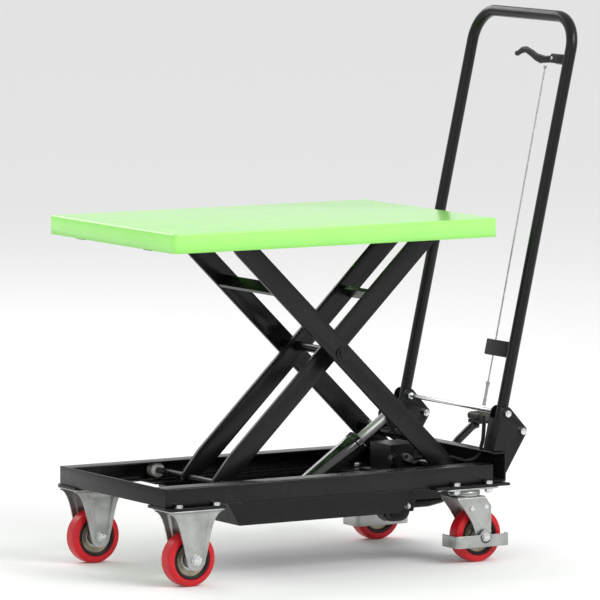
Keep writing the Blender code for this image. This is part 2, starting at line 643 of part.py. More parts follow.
def make_valve_lever():
    outline = link_outline((VALVE_SPINDLE.x, VALVE_SPINDLE.z), 7.0, (656.0, 172.0), 5.0)
    lever = plate("valve_lever", outline, *VALVE_LEVER_Y, "XZ", "zinc")
    cut(lever, hole("valve_lever_hole", VALVE_SPINDLE, VALVE_SPINDLE_RADIUS + GAP, 10.0, "Y", 16))


def make_release_cable():
    """The wire from the lever to the sleeve by the handle's rod, and the guide that it runs through."""
    top, foot = handle_point(*CABLE_TOP), handle_point(*CABLE_FOOT)
    along = (top - foot).normalized()
    wire = tube("release_cable", [foot, top], 1.8, 2, "bare_steel")
    unite(wire, rod("release_cable_sleeve", foot - along, foot + along * 46.0, 4.0),
          rod("release_cable_nipple", top - along * 4.0, top + along, 3.2))

    half = GUIDE_HEIGHT / 2
    near = -HANDLE_Y + HANDLE_RADIUS + GAP
    outline = [(near, GUIDE_UP - half), (GUIDE_FAR_Y, GUIDE_UP - half), (GUIDE_FAR_Y, GUIDE_UP + half),
               (near, GUIDE_UP + half)]
    guide = plate("cable_guide", outline, -GUIDE_DEPTH / 2, GUIDE_DEPTH / 2, "HANDLE", "frame_black")
    middle = foot + along * (GUIDE_UP - CABLE_FOOT[0])
    cut(guide, rod("cable_guide_hole", middle - along * 25.0, middle + along * 25.0, 3.0))


# ---- Scissor ------------------------------------------------------------------------------------


def bar_outline(origin, along, across, start_end, finish_end):
    """A flat bar that narrows to a round end at each pivot; an end is (radius, distance to full width)."""
    radius, knee = start_end
    local = [(radius * math.cos(a), radius * math.sin(a))
             for a in (math.radians(90 + 30 * i) for i in range(7))]
    local += [(knee, -ARM_HALF_HEIGHT)]
    radius, knee = finish_end
    local += [(ARM_LENGTH - knee, -ARM_HALF_HEIGHT)]
    local += [(ARM_LENGTH + radius * math.cos(a), radius * math.sin(a))
              for a in (math.radians(-90 + 30 * i) for i in range(7))]
    local += [(ARM_LENGTH - knee, ARM_HALF_HEIGHT), (start_end[1], ARM_HALF_HEIGHT)]
    world = [origin + s * along + t * across for s, t in local]
    return [(point.x, point.z) for point in world]


def make_arm(name, side, inner_face, origin, along, across, ends):
    low_y, high_y = span_y(side, inner_face, inner_face + ARM_THICKNESS)
    arm = plate(name, bar_outline(origin, along, across, *ends), low_y, high_y, "XZ", "frame_black")
    middle = Vector((0, (low_y + high_y) / 2, 0))
    pins = ((0.0, PIN_RADIUS), (0.5, CENTRE_PIN_RADIUS), (1.0, PIN_RADIUS))
    for share, radius in pins:
        centre = origin + share * ARM_LENGTH * along + middle
        cut(arm, hole(f"{name}_hole_{share:.1f}", centre, radius + GAP, ARM_THICKNESS))


def make_tie(name, origin, along, across, inner_face, at, low, high):
    """A flat bar across a pair of arms, 8 mm thick along them."""
    corners = [(at - 4, low), (at + 4, low), (at + 4, high), (at - 4, high)]
    world = [origin + s * along + t * across for s, t in corners]
    reach = inner_face - GAP
    plate(name, [(point.x, point.z) for point in world], -reach, reach, "XZ", "frame_black")


def make_roller(name, side, centre, inner_face):
    bore, half = PIN_RADIUS + GAP, ROLLER_WIDTH / 2
    profile = [(bore, -half), (11.0, -half), (ROLLER_RADIUS, 1.5 - half), (ROLLER_RADIUS, half - 1.5),
               (11.0, half), (bore, half)]
    turned(name, profile, centre + Vector((0, side * (inner_face + half), 0)), (0, 1, 0), 16, "roller_nylon")


def make_cross_shaft(name, centre, reach, radius):
    offset = Vector((0, reach, 0))
    return rod(name, centre - offset, centre + offset, radius, 12, "bare_steel")


def make_scissor():
    for label, side in SIDES.items():
        make_arm(f"outer_arm_{label}", side, OUTER_ARM_Y, REAR_PIVOT, OUTER_ALONG, OUTER_ACROSS,
                 ((16.0, 33.0), (16.0, 33.0)))
        make_arm(f"inner_arm_{label}", side, INNER_ARM_Y, LOWER_ROLLER, INNER_ALONG, INNER_ACROSS,
                 ((14.0, 50.0), (16.0, 33.0)))
        make_roller(f"upper_roller_{label}", side, UPPER_ROLLER, UPPER_ROLLER_Y - ROLLER_WIDTH / 2)
        make_roller(f"lower_roller_{label}", side, LOWER_ROLLER, LOWER_ROLLER_Y - ROLLER_WIDTH / 2)
    make_tie("outer_arm_tie", REAR_PIVOT, OUTER_ALONG, OUTER_ACROSS, OUTER_ARM_Y, 521.0, -19.0, 5.0)
    make_tie("inner_arm_tie", LOWER_ROLLER, INNER_ALONG, INNER_ACROSS, INNER_ARM_Y, 475.0, -12.0, 12.0)
    make_cross_shaft("centre_shaft", CENTRE, OUTER_ARM_Y + 10.0, CENTRE_PIN_RADIUS)
    make_cross_shaft("upper_roller_shaft", UPPER_ROLLER, UPPER_ROLLER_Y + 12.5, PIN_RADIUS)
    make_cross_shaft("lower_roller_shaft", LOWER_ROLLER, LOWER_ROLLER_Y + 12.5, PIN_RADIUS)
    make_cross_shaft("upper_pivot_shaft", UPPER_PIVOT, DECK_RAIL_Y + 4.0, PIN_RADIUS)


def make_lift_cross_tube():
    """The tube across the outer arms, with two ears and the pin that the ram pushes on."""
    centre = REAR_PIVOT + LIFT_TUBE_ALONG * OUTER_ALONG
    reach = Vector((0, OUTER_ARM_Y - GAP, 0))
    tie = rod("lift_cross_tube", centre - reach, centre + reach, LIFT_TUBE_RADIUS, 20, "frame_black")
    ear = link_outline((centre.x, centre.z), 10.5, (RAM_PIN.x, RAM_PIN.z), 12.0)
    for label, side in SIDES.items():
        unite(tie, plate(f"lift_cross_tube_ear_{label}", ear, *span_y(side, 12.0, 18.0)))
    pin_reach = Vector((0, 21.0, 0))
    unite(tie, rod("lift_cross_tube_ram_pin", RAM_PIN - pin_reach, RAM_PIN + pin_reach, RAM_PIN_RADIUS))


def make_cylinder():
    ram = rod("cylinder_ram", RAM_PIN - RAM_ALONG * 6.0, RAM_PIN - RAM_ALONG * RAM_ROD_LENGTH, RAM_RADIUS, 20,
              "bare_steel")
    eye = Vector((0, 10.5, 0))
    unite(ram, rod("cylinder_ram_eye", RAM_PIN - eye, RAM_PIN + eye, 11.0))
    cut(ram, hole("cylinder_ram_pin_hole", RAM_PIN, RAM_PIN_RADIUS + GAP, 15.0, "Y", 16))
    bore, collar = RAM_RADIUS + GAP, BARREL_RADIUS + 2.0
    profile = [(bore, 12.0), (bore, BARREL_END), (collar, BARREL_END), (collar, BARREL_END - 12.0),
               (BARREL_RADIUS, BARREL_END - 14.0), (BARREL_RADIUS, 8.0), (15.0, 0.0), (12.0, -14.0),
               (0.0, -14.0), (0.0, 12.0)]
    turned("cylinder_barrel", profile, CRADLE, RAM_ALONG, 24, "pump_black")


# ---- Platform -----------------------------------------------------------------------------------


def make_platform():
    low = (DECK_FRONT_X, -DECK_WIDTH / 2)
    high = (DECK_REAR_X, DECK_WIDTH / 2)
    outline = rounded_rectangle(low, high, DECK_CORNER)
    deck = plate("platform", outline, DECK_TOP_Z - DECK_DEPTH, DECK_TOP_Z, "XY", "deck_green")
    inner_low = (low[0] + DECK_SHEET, low[1] + DECK_SHEET)
    inner_high = (high[0] - DECK_SHEET, high[1] - DECK_SHEET)
    inside = rounded_rectangle(inner_low, inner_high, DECK_CORNER - DECK_SHEET)
    below, sheet_z = DECK_TOP_Z - DECK_DEPTH - PAST, DECK_TOP_Z - DECK_SHEET
    cut(deck, plate("platform_underside", inside, below, sheet_z, "XY"))

    top_z = DECK_TOP_Z - DECK_SHEET - GAP
    low_z = top_z - DECK_RAIL_HEIGHT
    front_x, rear_x = DECK_FRONT_X + 6.0, DECK_REAR_X - 4.0
    for label, side in SIDES.items():
        name = f"platform_rail_{label}"
        low_y, high_y = span_y(side, DECK_RAIL_Y - DECK_RAIL_FLANGE, DECK_RAIL_Y)
        rail = box(name, (front_x, low_y, low_z), (rear_x, high_y, top_z), "frame_black")
        low_y, high_y = span_y(side, DECK_RAIL_Y - DECK_RAIL_FLANGE - PAST, DECK_RAIL_Y - DECK_RAIL_SHEET)
        pivot = UPPER_PIVOT + Vector((0, side * DECK_RAIL_Y, 0))
        cut(rail, box(name + "_channel", (front_x - PAST, low_y, low_z + DECK_RAIL_SHEET),
                      (rear_x + PAST, high_y, top_z - DECK_RAIL_SHEET)),
            hole(name + "_pivot_hole", pivot, PIN_RADIUS + GAP, 8.0))


# ---- Handle -------------------------------------------------------------------------------------


def make_handle():
    route = [handle_point(-HANDLE_STUB, -HANDLE_Y), handle_point(HANDLE_HEIGHT, -HANDLE_Y),
             handle_point(HANDLE_HEIGHT, HANDLE_Y), handle_point(-HANDLE_STUB, HANDLE_Y)]
    handle = tube("handle_tube", filleted(route, HANDLE_BEND, 6), HANDLE_RADIUS, 4, "frame_black")
    for label, side in SIDES.items():
        centre = HANDLE_HINGE + Vector((0, side * HANDLE_Y, 0))
        cut(handle, hole(f"handle_tube_rod_hole_{label}", centre, HANDLE_ROD_RADIUS + 2 * GAP, 20.0, "Y", 16))

    up, y = LEVER_PIVOT
    near, far = -HANDLE_Y + 6.0, y + 8.0
    cheek = [(near, up - 9.0), (far, up - 9.0), (far, up + 9.0), (near, up + 9.0)]
    for label, low in (("rear", -9.0), ("front", 4.0)):
        unite(handle, plate(f"handle_tube_lever_cheek_{label}", cheek, low, low + 5.0, "HANDLE"))
    pin = (handle_point(up, y, -10.0), handle_point(up, y, 10.0))
    unite(handle, rod("handle_tube_lever_pin", *pin, LEVER_PIN_RADIUS))


def make_release_lever():
    """A curved lever on the near tube: it hangs between the cheeks and ends in a rounded tip."""
    up, y = LEVER_PIVOT
    outline = arc((y, up), 7.5, 110, 260, 6) + [(-89.0, 662.0), (-60.0, 668.0), (-18.0, 678.5), (4.0, 670.5)]
    outline += arc((8.0, 675.5), 5.0, -70, 110, 5) + [(-18.0, 689.5), (-60.0, 679.0), (-89.0, 675.0)]
    lever = plate("release_lever", outline, -3.0, 3.0, "HANDLE", "frame_black")
    bore = (handle_point(up, y, -8.0), handle_point(up, y, 8.0))
    cut(lever, rod("release_lever_hole", *bore, LEVER_PIN_RADIUS + GAP))


# ---- Casters ------------------------------------------------------------------------------------


def make_wheel(label, x, y):
    half = WHEEL_WIDTH / 2
    shoulder = [(math.cos(math.radians(a)), math.sin(math.radians(a))) for a in (0, 45, 90)]
    tread = [(WHEEL_RADIUS - 6.0 + 6.0 * c, half - 6.0 + 6.0 * s) for c, s in shoulder]
    tread = tread[::-1] + [(r, -h) for r, h in tread]
    profile = [(RIM_RADIUS, half - 1.0)] + tread + [(RIM_RADIUS, 1.0 - half)]
    centre = (x, y, WHEEL_RADIUS)
    turned(f"{label}_tyre", profile, centre, (0, 1, 0), 28, "wheel_red")
    bore, boss, web = AXLE_RADIUS + GAP, FORK_Y - 2.0, half - 5.0
    face = [(bore, boss), (11.0, boss), (11.0, web), (31.0, web), (31.0, half - 1.0),
            (RIM_RADIUS - GAP, half - 1.0)]
    profile = face + [(r, -h) for r, h in reversed(face)]
    turned(f"{label}_hub", profile, centre, (0, 1, 0), 20, "hub_tan")


def make_front_fork(label, side):
    """A fixed fork: a top plate with two flared and ribbed legs, its four bolts and its axle."""
    name = f"front_fork_{label}"
    middle_y = side * WHEEL_Y
    x = FRONT_AXLE_X
    top_z = CASTER_PLATE_LOW_Z - GAP
    fork = box(name, (4.0, middle_y - CASTER_HALF_WIDTH, top_z - CASTER_SHEET),
               (118.0, middle_y + CASTER_HALF_WIDTH, top_z), "zinc")
    flare = [(57.0, top_z - 1.0), (50.0, top_z - 7.0), (44.0, 130.0), (37.0, 114.0), (31.0, 98.0)]
    outline = [(x + dx, z) for dx, z in flare] + arc((x, 51.7), 20.0, 0, -180, 8)
    outline += [(x - dx, z) for dx, z in reversed(flare)]
    for leg, inner in (("left", -FORK_Y - FORK_SHEET), ("right", FORK_Y)):
        low_y = middle_y + inner
        unite(fork, plate(f"{name}_{leg}_leg", outline, low_y, low_y + FORK_SHEET))
        rib_y = low_y - 1.5 if leg == "left" else low_y + 1.0
        unite(fork, box(f"{name}_{leg}_rib", (x - 7.0, rib_y, 66.0), (x + 7.0, rib_y + 3.5, 128.0)))
    for bolt_x in FRONT_BOLTS_X:
        for offset in (-BOLT_OFFSET_Y, BOLT_OFFSET_Y):
            unite(fork, *caster_bolt(f"{name}_bolt_{bolt_x:.0f}_{offset:.0f}", bolt_x, middle_y + offset))
    axle = Vector((x, middle_y, WHEEL_RADIUS))
    face = FORK_Y + FORK_SHEET
    reach = Vector((0, face + 3.0, 0))
    unite(fork, rod(name + "_axle", axle - reach, axle + reach, AXLE_RADIUS))
    for end, sign in (("head", -1), ("nut", 1)):
        ends = (axle + Vector((0, sign * (face - 1.5), 0)), axle + Vector((0, sign * (face + 7.0), 0)))
        unite(fork, hexagon(f"{name}_axle_{end}", *ends, AXLE_ACROSS_FLATS))


def make_swivel_plate(label, middle_y):
    name = f"swivel_plate_{label}"
    top_z = CASTER_PLATE_LOW_Z - GAP
    swivel = Vector((SWIVEL_X, middle_y, 0.0))
    top = box(name, (605.0, middle_y - CASTER_HALF_WIDTH, top_z - CASTER_SHEET),
              (717.0, middle_y + CASTER_HALF_WIDTH, top_z), "zinc")
    race = (swivel + Vector((0, 0, CROWN_Z + GAP)), swivel + Vector((0, 0, top_z - 1.0)))
    kingpin = (swivel + Vector((0, 0, CROWN_Z - 8.0)), swivel + Vector((0, 0, top_z - 2.0)))
    head = (swivel + Vector((0, 0, CROWN_Z - 9.5)), swivel + Vector((0, 0, CROWN_Z - CROWN_SHEET - GAP)))
    unite(top, rod(name + "_race", *race, 31.0, 24), rod(name + "_kingpin", *kingpin, KINGPIN_RADIUS),
          rod(name + "_kingpin_head", *head, 10.0))
    for bolt_x in REAR_BOLTS_X:
        for offset in (-BOLT_OFFSET_Y, BOLT_OFFSET_Y):
            unite(top, *caster_bolt(f"{name}_bolt_{bolt_x:.0f}_{offset:.0f}", bolt_x, middle_y + offset))


def make_rear_fork(label, middle_y):
    name = f"rear_fork_{label}"
    front_x, rear_x = 629.0, 693.0
    fork = box(name, (front_x, middle_y - FORK_Y - 1.0, CROWN_Z - CROWN_SHEET),
               (rear_x, middle_y + FORK_Y + 1.0, CROWN_Z), "zinc")
    outline = [(front_x, CROWN_Z), (front_x, 120.0), (658.6, 82.0), (670.0, 56.0)]
    outline += arc((REAR_AXLE_X, WHEEL_RADIUS), 17.0, 190, 360, 7) + [(704.0, 107.0), (rear_x, CROWN_Z)]
    for leg, inner in (("left", -FORK_Y - FORK_SHEET), ("right", FORK_Y)):
        low_y = middle_y + inner
        unite(fork, plate(f"{name}_{leg}_leg", outline, low_y, low_y + FORK_SHEET))
        stud_y = low_y - 2.0 if leg == "left" else low_y + 1.0
        for i, (stud_x, stud_z) in enumerate(RIVETS_XZ):
            ends = ((stud_x, stud_y, stud_z), (stud_x, stud_y + 4.0, stud_z))
            unite(fork, rod(f"{name}_{leg}_rivet_{i}", *ends, 5.0, 10))
    swivel = Vector((SWIVEL_X, middle_y, CROWN_Z))
    axle = Vector((REAR_AXLE_X, middle_y, WHEEL_RADIUS))
    cut(fork, hole(name + "_kingpin_hole", swivel, KINGPIN_RADIUS + GAP, 8.0, "Z"),
        hole(name + "_axle_hole", axle, AXLE_RADIUS + GAP, 40.0))


def make_brake_band(label, middle_y):
    """A bent strip on the outside of the axle: a long arm past the wheel and a fold in front of it."""
    name = f"brake_band_{label}"
    front_x, rear_x = BRAKE_X
    low_z, high_z = BRAKE_Z
    face_y = middle_y - BRAKE_FACE
    band = box(name, (front_x, face_y, low_z), (rear_x, face_y + BRAKE_SHEET, high_z), "zinc")
    eye = Vector((REAR_AXLE_X, face_y, WHEEL_RADIUS))
    start_y = face_y + 1.0
    unite(band, box(name + "_front", (front_x, start_y, low_z), (front_x + BRAKE_SHEET, face_y + 50.0, high_z)),
          box(name + "_rear_fold", (rear_x - BRAKE_SHEET, start_y, low_z), (rear_x, face_y + 14.0, high_z)),
          rod(name + "_eye", eye, eye + Vector((0, BRAKE_SHEET, 0)), 13.0))
    cut(band, hole(name + "_axle_hole", eye, AXLE_RADIUS + GAP, 8.0))


def make_rear_axle(label, middle_y):
    name = f"rear_axle_{label}"
    low = Vector((REAR_AXLE_X, middle_y - BRAKE_FACE - 5.0, WHEEL_RADIUS))
    high = Vector((REAR_AXLE_X, middle_y + FORK_Y + FORK_SHEET + 8.0, WHEEL_RADIUS))
    pin = rod(name, low, high, AXLE_RADIUS, 16, "zinc")
    head = (low - Vector((0, 1.0, 0)), low + Vector((0, 5.0 - GAP, 0)))
    nut = (high - Vector((0, 8.0 - GAP, 0)), high - Vector((0, 1.0, 0)))
    unite(pin, hexagon(name + "_head", *head, AXLE_ACROSS_FLATS),
          hexagon(name + "_nut", *nut, AXLE_ACROSS_FLATS))


def make_rear_caster(label, side):
    """A swivel caster: its top plate and race, its fork, its brake band and its axle."""
    middle_y = side * WHEEL_Y
    make_swivel_plate(label, middle_y)
    make_rear_fork(label, middle_y)
    make_brake_band(label, middle_y)
    make_rear_axle(label, middle_y)


# ---- Assembly -----------------------------------------------------------------------------------


def bodies():
    """Each moving body: its parent, the place of its joint, and its pieces."""
    found = {
        "outer_arms": ("base", REAR_PIVOT, ["outer_arm_left", "outer_arm_right", "outer_arm_tie",
                                            "lift_cross_tube", "centre_shaft", "upper_roller_shaft"]),
        "inner_arms": ("outer_arms", CENTRE, ["inner_arm_left", "inner_arm_right", "inner_arm_tie",
                                              "lower_roller_shaft"]),
        "deck": ("inner_arms", UPPER_PIVOT, ["platform", "platform_rail_left", "platform_rail_right",
                                             "upper_pivot_shaft"]),
        "ram": ("outer_arms", RAM_PIN, ["cylinder_ram"]),
        "barrel": ("ram", CRADLE, ["cylinder_barrel"]),
        "handle": ("base", HANDLE_HINGE, ["handle_tube", "cable_guide"]),
        "lever": ("handle", handle_point(*LEVER_PIVOT), ["release_lever"]),
        "cable": ("handle", handle_point(*CABLE_TOP), ["release_cable"]),
        "valve": ("base", VALVE_SPINDLE, ["valve_lever"]),
        "pedal": ("base", PEDAL_PIVOT, ["pedal_arm", "pedal_pad"]),
        "plunger": ("base", PLUNGER, ["pump_plunger", "plunger_spring"]),
    }
    for label, side in SIDES.items():
        y = side * WHEEL_Y
        found[f"upper_roller_body_{label}"] = (
            "outer_arms", UPPER_ROLLER + Vector((0, side * UPPER_ROLLER_Y, 0)), [f"upper_roller_{label}"])
        found[f"lower_roller_body_{label}"] = (
            "inner_arms", LOWER_ROLLER + Vector((0, side * LOWER_ROLLER_Y, 0)), [f"lower_roller_{label}"])
        found[f"swivel_{label}"] = (
            "base", Vector((SWIVEL_X, y, 0)), [f"rear_fork_{label}", f"rear_axle_{label}"])
        found[f"brake_{label}"] = (
            f"swivel_{label}", Vector((REAR_AXLE_X, y, WHEEL_RADIUS)), [f"brake_band_{label}"])
        found[f"rear_wheel_body_{label}"] = (
            f"swivel_{label}", Vector((REAR_AXLE_X, y, WHEEL_RADIUS)),
            [f"rear_wheel_{label}_tyre", f"rear_wheel_{label}_hub"])
        found[f"front_wheel_body_{label}"] = (
            "base", Vector((FRONT_AXLE_X, y, WHEEL_RADIUS)),
            [f"front_wheel_{label}_tyre", f"front_wheel_{label}_hub"])
    return found


def new_empty(name, place, parent):
    empty = bpy.data.objects.new(name, None)
    empty.empty_display_size = 0.03
    PARTS.objects.link(empty)
    attach(empty, parent, Matrix.Translation(place * MM))
    return empty


def attach(obj, parent, world):
    """Parents obj and keeps it where it is."""
    if parent:
        obj.parent = parent
        obj.matrix_parent_inverse = Matrix.Translation(JOINT_PLACES[parent.name] * MM).inverted()
    obj.matrix_basis = world


JOINT_PLACES = {}


def assemble():
    JOINT_PLACES["base"] = Vector((0, 0, 0))
    empties = {"base": new_empty("base", Vector((0, 0, 0)), None)}
    free = {obj.name for obj in PARTS.objects if obj.type == "MESH"}
    for name, (parent, place, pieces) in bodies().items():
        JOINT_PLACES[name] = place
        empties[name] = new_empty(name, place, empties[parent])
        for piece in pieces:
            obj = bpy.data.objects[piece]
            attach(obj, empties[name], obj.matrix_basis.copy())
            free.remove(piece)
    for piece in sorted(free):
        obj = bpy.data.objects[piece]
        attach(obj, empties["base"], obj.matrix_basis.copy())
    empties["base"].location.x = -ORIGIN_X * MM


def shade():
    for obj in PARTS.objects:
        if obj.type == "MESH":
            obj.data.shade_smooth()
            obj.data.set_sharp_from_angle(angle=math.radians(35))


def main():
    for label, side in SIDES.items():
        make_base_rail(label, side)
        make_handle_bracket(label, side)
        make_front_fork(label, side)
        make_rear_caster(label, side)
        make_wheel(f"front_wheel_{label}", FRONT_AXLE_X, side * WHEEL_Y)
        make_wheel(f"rear_wheel_{label}", REAR_AXLE_X, side * WHEEL_Y)
    make_crossmembers()
    make_belly_pan()
    make_base_shafts()
    make_pump()
    make_plunger()
    make_pedal()
    make_cable_conduit()
    make_valve_lever()
    make_release_cable()
    make_scissor()
    make_lift_cross_tube()
    make_cylinder()
    make_platform()
    make_handle()
    make_release_lever()
    assemble()
    shade()


main()
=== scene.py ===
"""Looks for the pedal-pumped scissor lift table: every visible piece, with its material, light and camera."""

import json
import math

import bmesh
import bpy
from mathutils import Matrix, Vector


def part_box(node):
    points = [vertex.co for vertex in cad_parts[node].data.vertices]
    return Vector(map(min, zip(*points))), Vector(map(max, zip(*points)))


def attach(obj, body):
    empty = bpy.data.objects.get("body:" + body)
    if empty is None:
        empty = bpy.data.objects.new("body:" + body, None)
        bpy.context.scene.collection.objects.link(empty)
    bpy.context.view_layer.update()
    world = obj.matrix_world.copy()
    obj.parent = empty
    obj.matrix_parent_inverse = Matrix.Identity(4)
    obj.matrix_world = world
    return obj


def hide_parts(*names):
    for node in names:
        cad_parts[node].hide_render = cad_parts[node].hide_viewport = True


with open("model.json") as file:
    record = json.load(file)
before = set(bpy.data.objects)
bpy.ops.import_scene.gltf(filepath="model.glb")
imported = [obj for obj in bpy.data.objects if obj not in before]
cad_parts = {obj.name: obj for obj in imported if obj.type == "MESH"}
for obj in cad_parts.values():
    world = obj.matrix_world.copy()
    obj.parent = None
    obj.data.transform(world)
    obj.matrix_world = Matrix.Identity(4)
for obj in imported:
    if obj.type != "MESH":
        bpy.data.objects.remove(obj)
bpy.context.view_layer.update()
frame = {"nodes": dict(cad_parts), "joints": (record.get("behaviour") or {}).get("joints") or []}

MM = 0.001
MERGE = 1e-6
SIDES = {"left": -1, "right": 1}
Y_AXIS = Vector((0, 1, 0))
Z_AXIS = Vector((0, 0, 1))
JOINTS = {joint["name"]: joint for joint in frame["joints"]}


def joint_point(name):
    return Vector(JOINTS[name]["pos_m"])


# ---- Materials ----


def new_material(name, colour, metallic, roughness, spread=0.06, grain=900.0, bump=0.05, blotch=9.0,
                 rough_spread=0.08, coat=0.0, specular=0.5, dust=None, dust_amount=0.0):
    """A surface with blotches of colour, uneven roughness, a fine grain and a little dust or wear."""
    material = bpy.data.materials.new(name)
    material.use_nodes = True
    tree = material.node_tree
    nodes, links = tree.nodes, tree.links
    shader = nodes["Principled BSDF"]
    shader.inputs["Metallic"].default_value = metallic
    shader.inputs["Specular IOR Level"].default_value = specular
    shader.inputs["Coat Weight"].default_value = coat
    shader.inputs["Coat Roughness"].default_value = 0.12
    place = nodes.new("ShaderNodeTexCoord")

    def noise(scale, detail, distortion=0.0):
        texture = nodes.new("ShaderNodeTexNoise")
        texture.inputs["Scale"].default_value = scale
        texture.inputs["Detail"].default_value = detail
        texture.inputs["Distortion"].default_value = distortion
        links.new(place.outputs["Object"], texture.inputs["Vector"])
        return texture.outputs["Fac"]

    ramp = nodes.new("ShaderNodeValToRGB")
    dark, light = ramp.color_ramp.elements
    dark.position, light.position = 0.35, 0.65
    dark.color = (*(c * (1 - spread) for c in colour), 1.0)
    light.color = (*(min(1.0, c * (1 + spread)) for c in colour), 1.0)
    links.new(noise(blotch, 4.0, 0.4), ramp.inputs["Fac"])
    tint = ramp.outputs["Color"]
    if dust:
        mask = nodes.new("ShaderNodeValToRGB")
        clean, dusty = mask.color_ramp.elements
        clean.position, dusty.position = 0.58, 0.78
        dusty.color = (dust_amount, dust_amount, dust_amount, 1.0)
        links.new(noise(blotch * 9, 8.0, 0.8), mask.inputs["Fac"])
        blend = nodes.new("ShaderNodeMix")
        blend.data_type = "RGBA"
        blend.inputs["B"].default_value = (*dust, 1.0)
        links.new(mask.outputs["Color"], blend.inputs["Factor"])
        links.new(tint, blend.inputs["A"])
        tint = blend.outputs["Result"]
    links.new(tint, shader.inputs["Base Color"])

    sheen = nodes.new("ShaderNodeMapRange")
    sheen.inputs["To Min"].default_value = max(0.03, roughness - rough_spread)
    sheen.inputs["To Max"].default_value = min(1.0, roughness + rough_spread)
    links.new(noise(blotch * 4, 6.0), sheen.inputs["Value"])
    links.new(sheen.outputs["Result"], shader.inputs["Roughness"])

    relief = nodes.new("ShaderNodeBump")
    relief.inputs["Strength"].default_value = bump
    relief.inputs["Distance"].default_value = 0.4 * MM
    links.new(noise(grain, 3.0), relief.inputs["Height"])
    links.new(relief.outputs["Normal"], shader.inputs["Normal"])
    return material


def brushed(material, across, along, strength):
    """Adds fine parallel marks, stretched along one direction, to a metal's relief."""
    nodes, links = material.node_tree.nodes, material.node_tree.links
    relief = next(node for node in nodes if node.type == "BUMP")
    place = next(node for node in nodes if node.type == "TEX_COORD")
    stretch = nodes.new("ShaderNodeMapping")
    stretch.inputs["Scale"].default_value = (across, across, along)
    marks = nodes.new("ShaderNodeTexNoise")
    marks.inputs["Scale"].default_value = 1.0
    marks.inputs["Detail"].default_value = 4.0
    links.new(place.outputs["Object"], stretch.inputs["Vector"])
    links.new(stretch.outputs["Vector"], marks.inputs["Vector"])
    second = nodes.new("ShaderNodeBump")
    second.inputs["Strength"].default_value = strength
    second.inputs["Distance"].default_value = 0.2 * MM
    links.new(marks.outputs["Fac"], second.inputs["Height"])
    links.new(relief.outputs["Normal"], second.inputs["Normal"])
    shader = nodes["Principled BSDF"]
    links.new(second.outputs["Normal"], shader.inputs["Normal"])
    return material


GREEN = new_material(
    "deck_green", (0.34, 0.88, 0.16), 0.0, 0.24, spread=0.03, grain=420.0, bump=0.10, coat=0.4,
    rough_spread=0.05)
BLACK = new_material(
    "frame_black", (0.0055, 0.0055, 0.0058), 0.0, 0.26, spread=0.25, grain=700.0, bump=0.14,
    specular=0.26, dust=(0.035, 0.035, 0.036), dust_amount=0.25)
ZINC = brushed(new_material(
    "zinc", (0.40, 0.41, 0.40), 0.9, 0.34, spread=0.16, grain=1100.0, bump=0.08, blotch=30.0,
    dust=(0.25, 0.25, 0.24), dust_amount=0.5), 900.0, 120.0, 0.10)
BRIGHT = new_material(
    "bright_zinc", (0.66, 0.67, 0.68), 1.0, 0.20, spread=0.08, grain=900.0, bump=0.05, blotch=40.0,
    dust=(0.35, 0.34, 0.32), dust_amount=0.4)
SATIN = brushed(new_material(
    "satin_steel", (0.34, 0.34, 0.34), 0.45, 0.38, spread=0.12, bump=0.05, blotch=25.0,
    dust=(0.16, 0.14, 0.12), dust_amount=0.4), 1500.0, 300.0, 0.12)
STEEL = brushed(new_material(
    "bare_steel", (0.50, 0.50, 0.51), 1.0, 0.26, spread=0.12, bump=0.05, blotch=25.0,
    dust=(0.16, 0.14, 0.12), dust_amount=0.4), 1500.0, 300.0, 0.12)
RED = new_material(
    "tyre_red", (0.52, 0.007, 0.014), 0.0, 0.34, spread=0.08, grain=650.0, bump=0.08, blotch=18.0,
    specular=0.35, dust=(0.36, 0.05, 0.045), dust_amount=0.25)
RING = new_material(
    "hub_ring_black", (0.008, 0.008, 0.009), 0.0, 0.42, spread=0.2, bump=0.1, specular=0.3)
TAN = new_material(
    "hub_tan", (0.36, 0.31, 0.23), 0.6, 0.38, spread=0.16, blotch=60.0, bump=0.08,
    dust=(0.19, 0.16, 0.12), dust_amount=0.5)
PUMP = new_material(
    "pump_black", (0.010, 0.010, 0.011), 0.0, 0.34, spread=0.25, grain=500.0, bump=0.35,
    specular=0.35, dust=(0.05, 0.05, 0.05), dust_amount=0.4)
BARREL = new_material(
    "barrel_black", (0.009, 0.010, 0.011), 0.0, 0.14, spread=0.2, grain=800.0, bump=0.06,
    specular=0.6, coat=0.6, dust=(0.05, 0.05, 0.05), dust_amount=0.3)
RUBBER = new_material(
    "pad_rubber", (0.022, 0.023, 0.017), 0.0, 0.52, spread=0.2, grain=1200.0, bump=0.3,
    dust=(0.10, 0.10, 0.085), dust_amount=0.5)
SHEATH = new_material(
    "cable_sheath", (0.007, 0.007, 0.007), 0.0, 0.42, spread=0.2, grain=1500.0, bump=0.2,
    specular=0.35)
NYLON = new_material(
    "roller_nylon", (0.50, 0.50, 0.47), 0.0, 0.42, spread=0.08, bump=0.08, blotch=40.0,
    dust=(0.22, 0.21, 0.19), dust_amount=0.6)


# ---- Shapes ----

LEVER_NORMAL = Vector(JOINTS["release_lever_pivot"]["axis"])
HANDLE_HINGE = joint_point("handle_fold")
HANDLE_UP = Vector((-LEVER_NORMAL.z, 0.0, LEVER_NORMAL.x))
PLANES = {
    "XY": (Matrix.Identity(4), 1),
    "XZ": (Matrix.Rotation(math.radians(90), 4, "X"), -1),
    "YZ": (Matrix(((0, 0, 1, 0), (1, 0, 0, 0), (0, 1, 0, 0), (0, 0, 0, 1))), 1),
    "HANDLE": (Matrix.Translation(HANDLE_HINGE)
               @ Matrix((Vector((0, 1, 0)), HANDLE_UP, LEVER_NORMAL)).transposed().to_4x4(), 1),
}


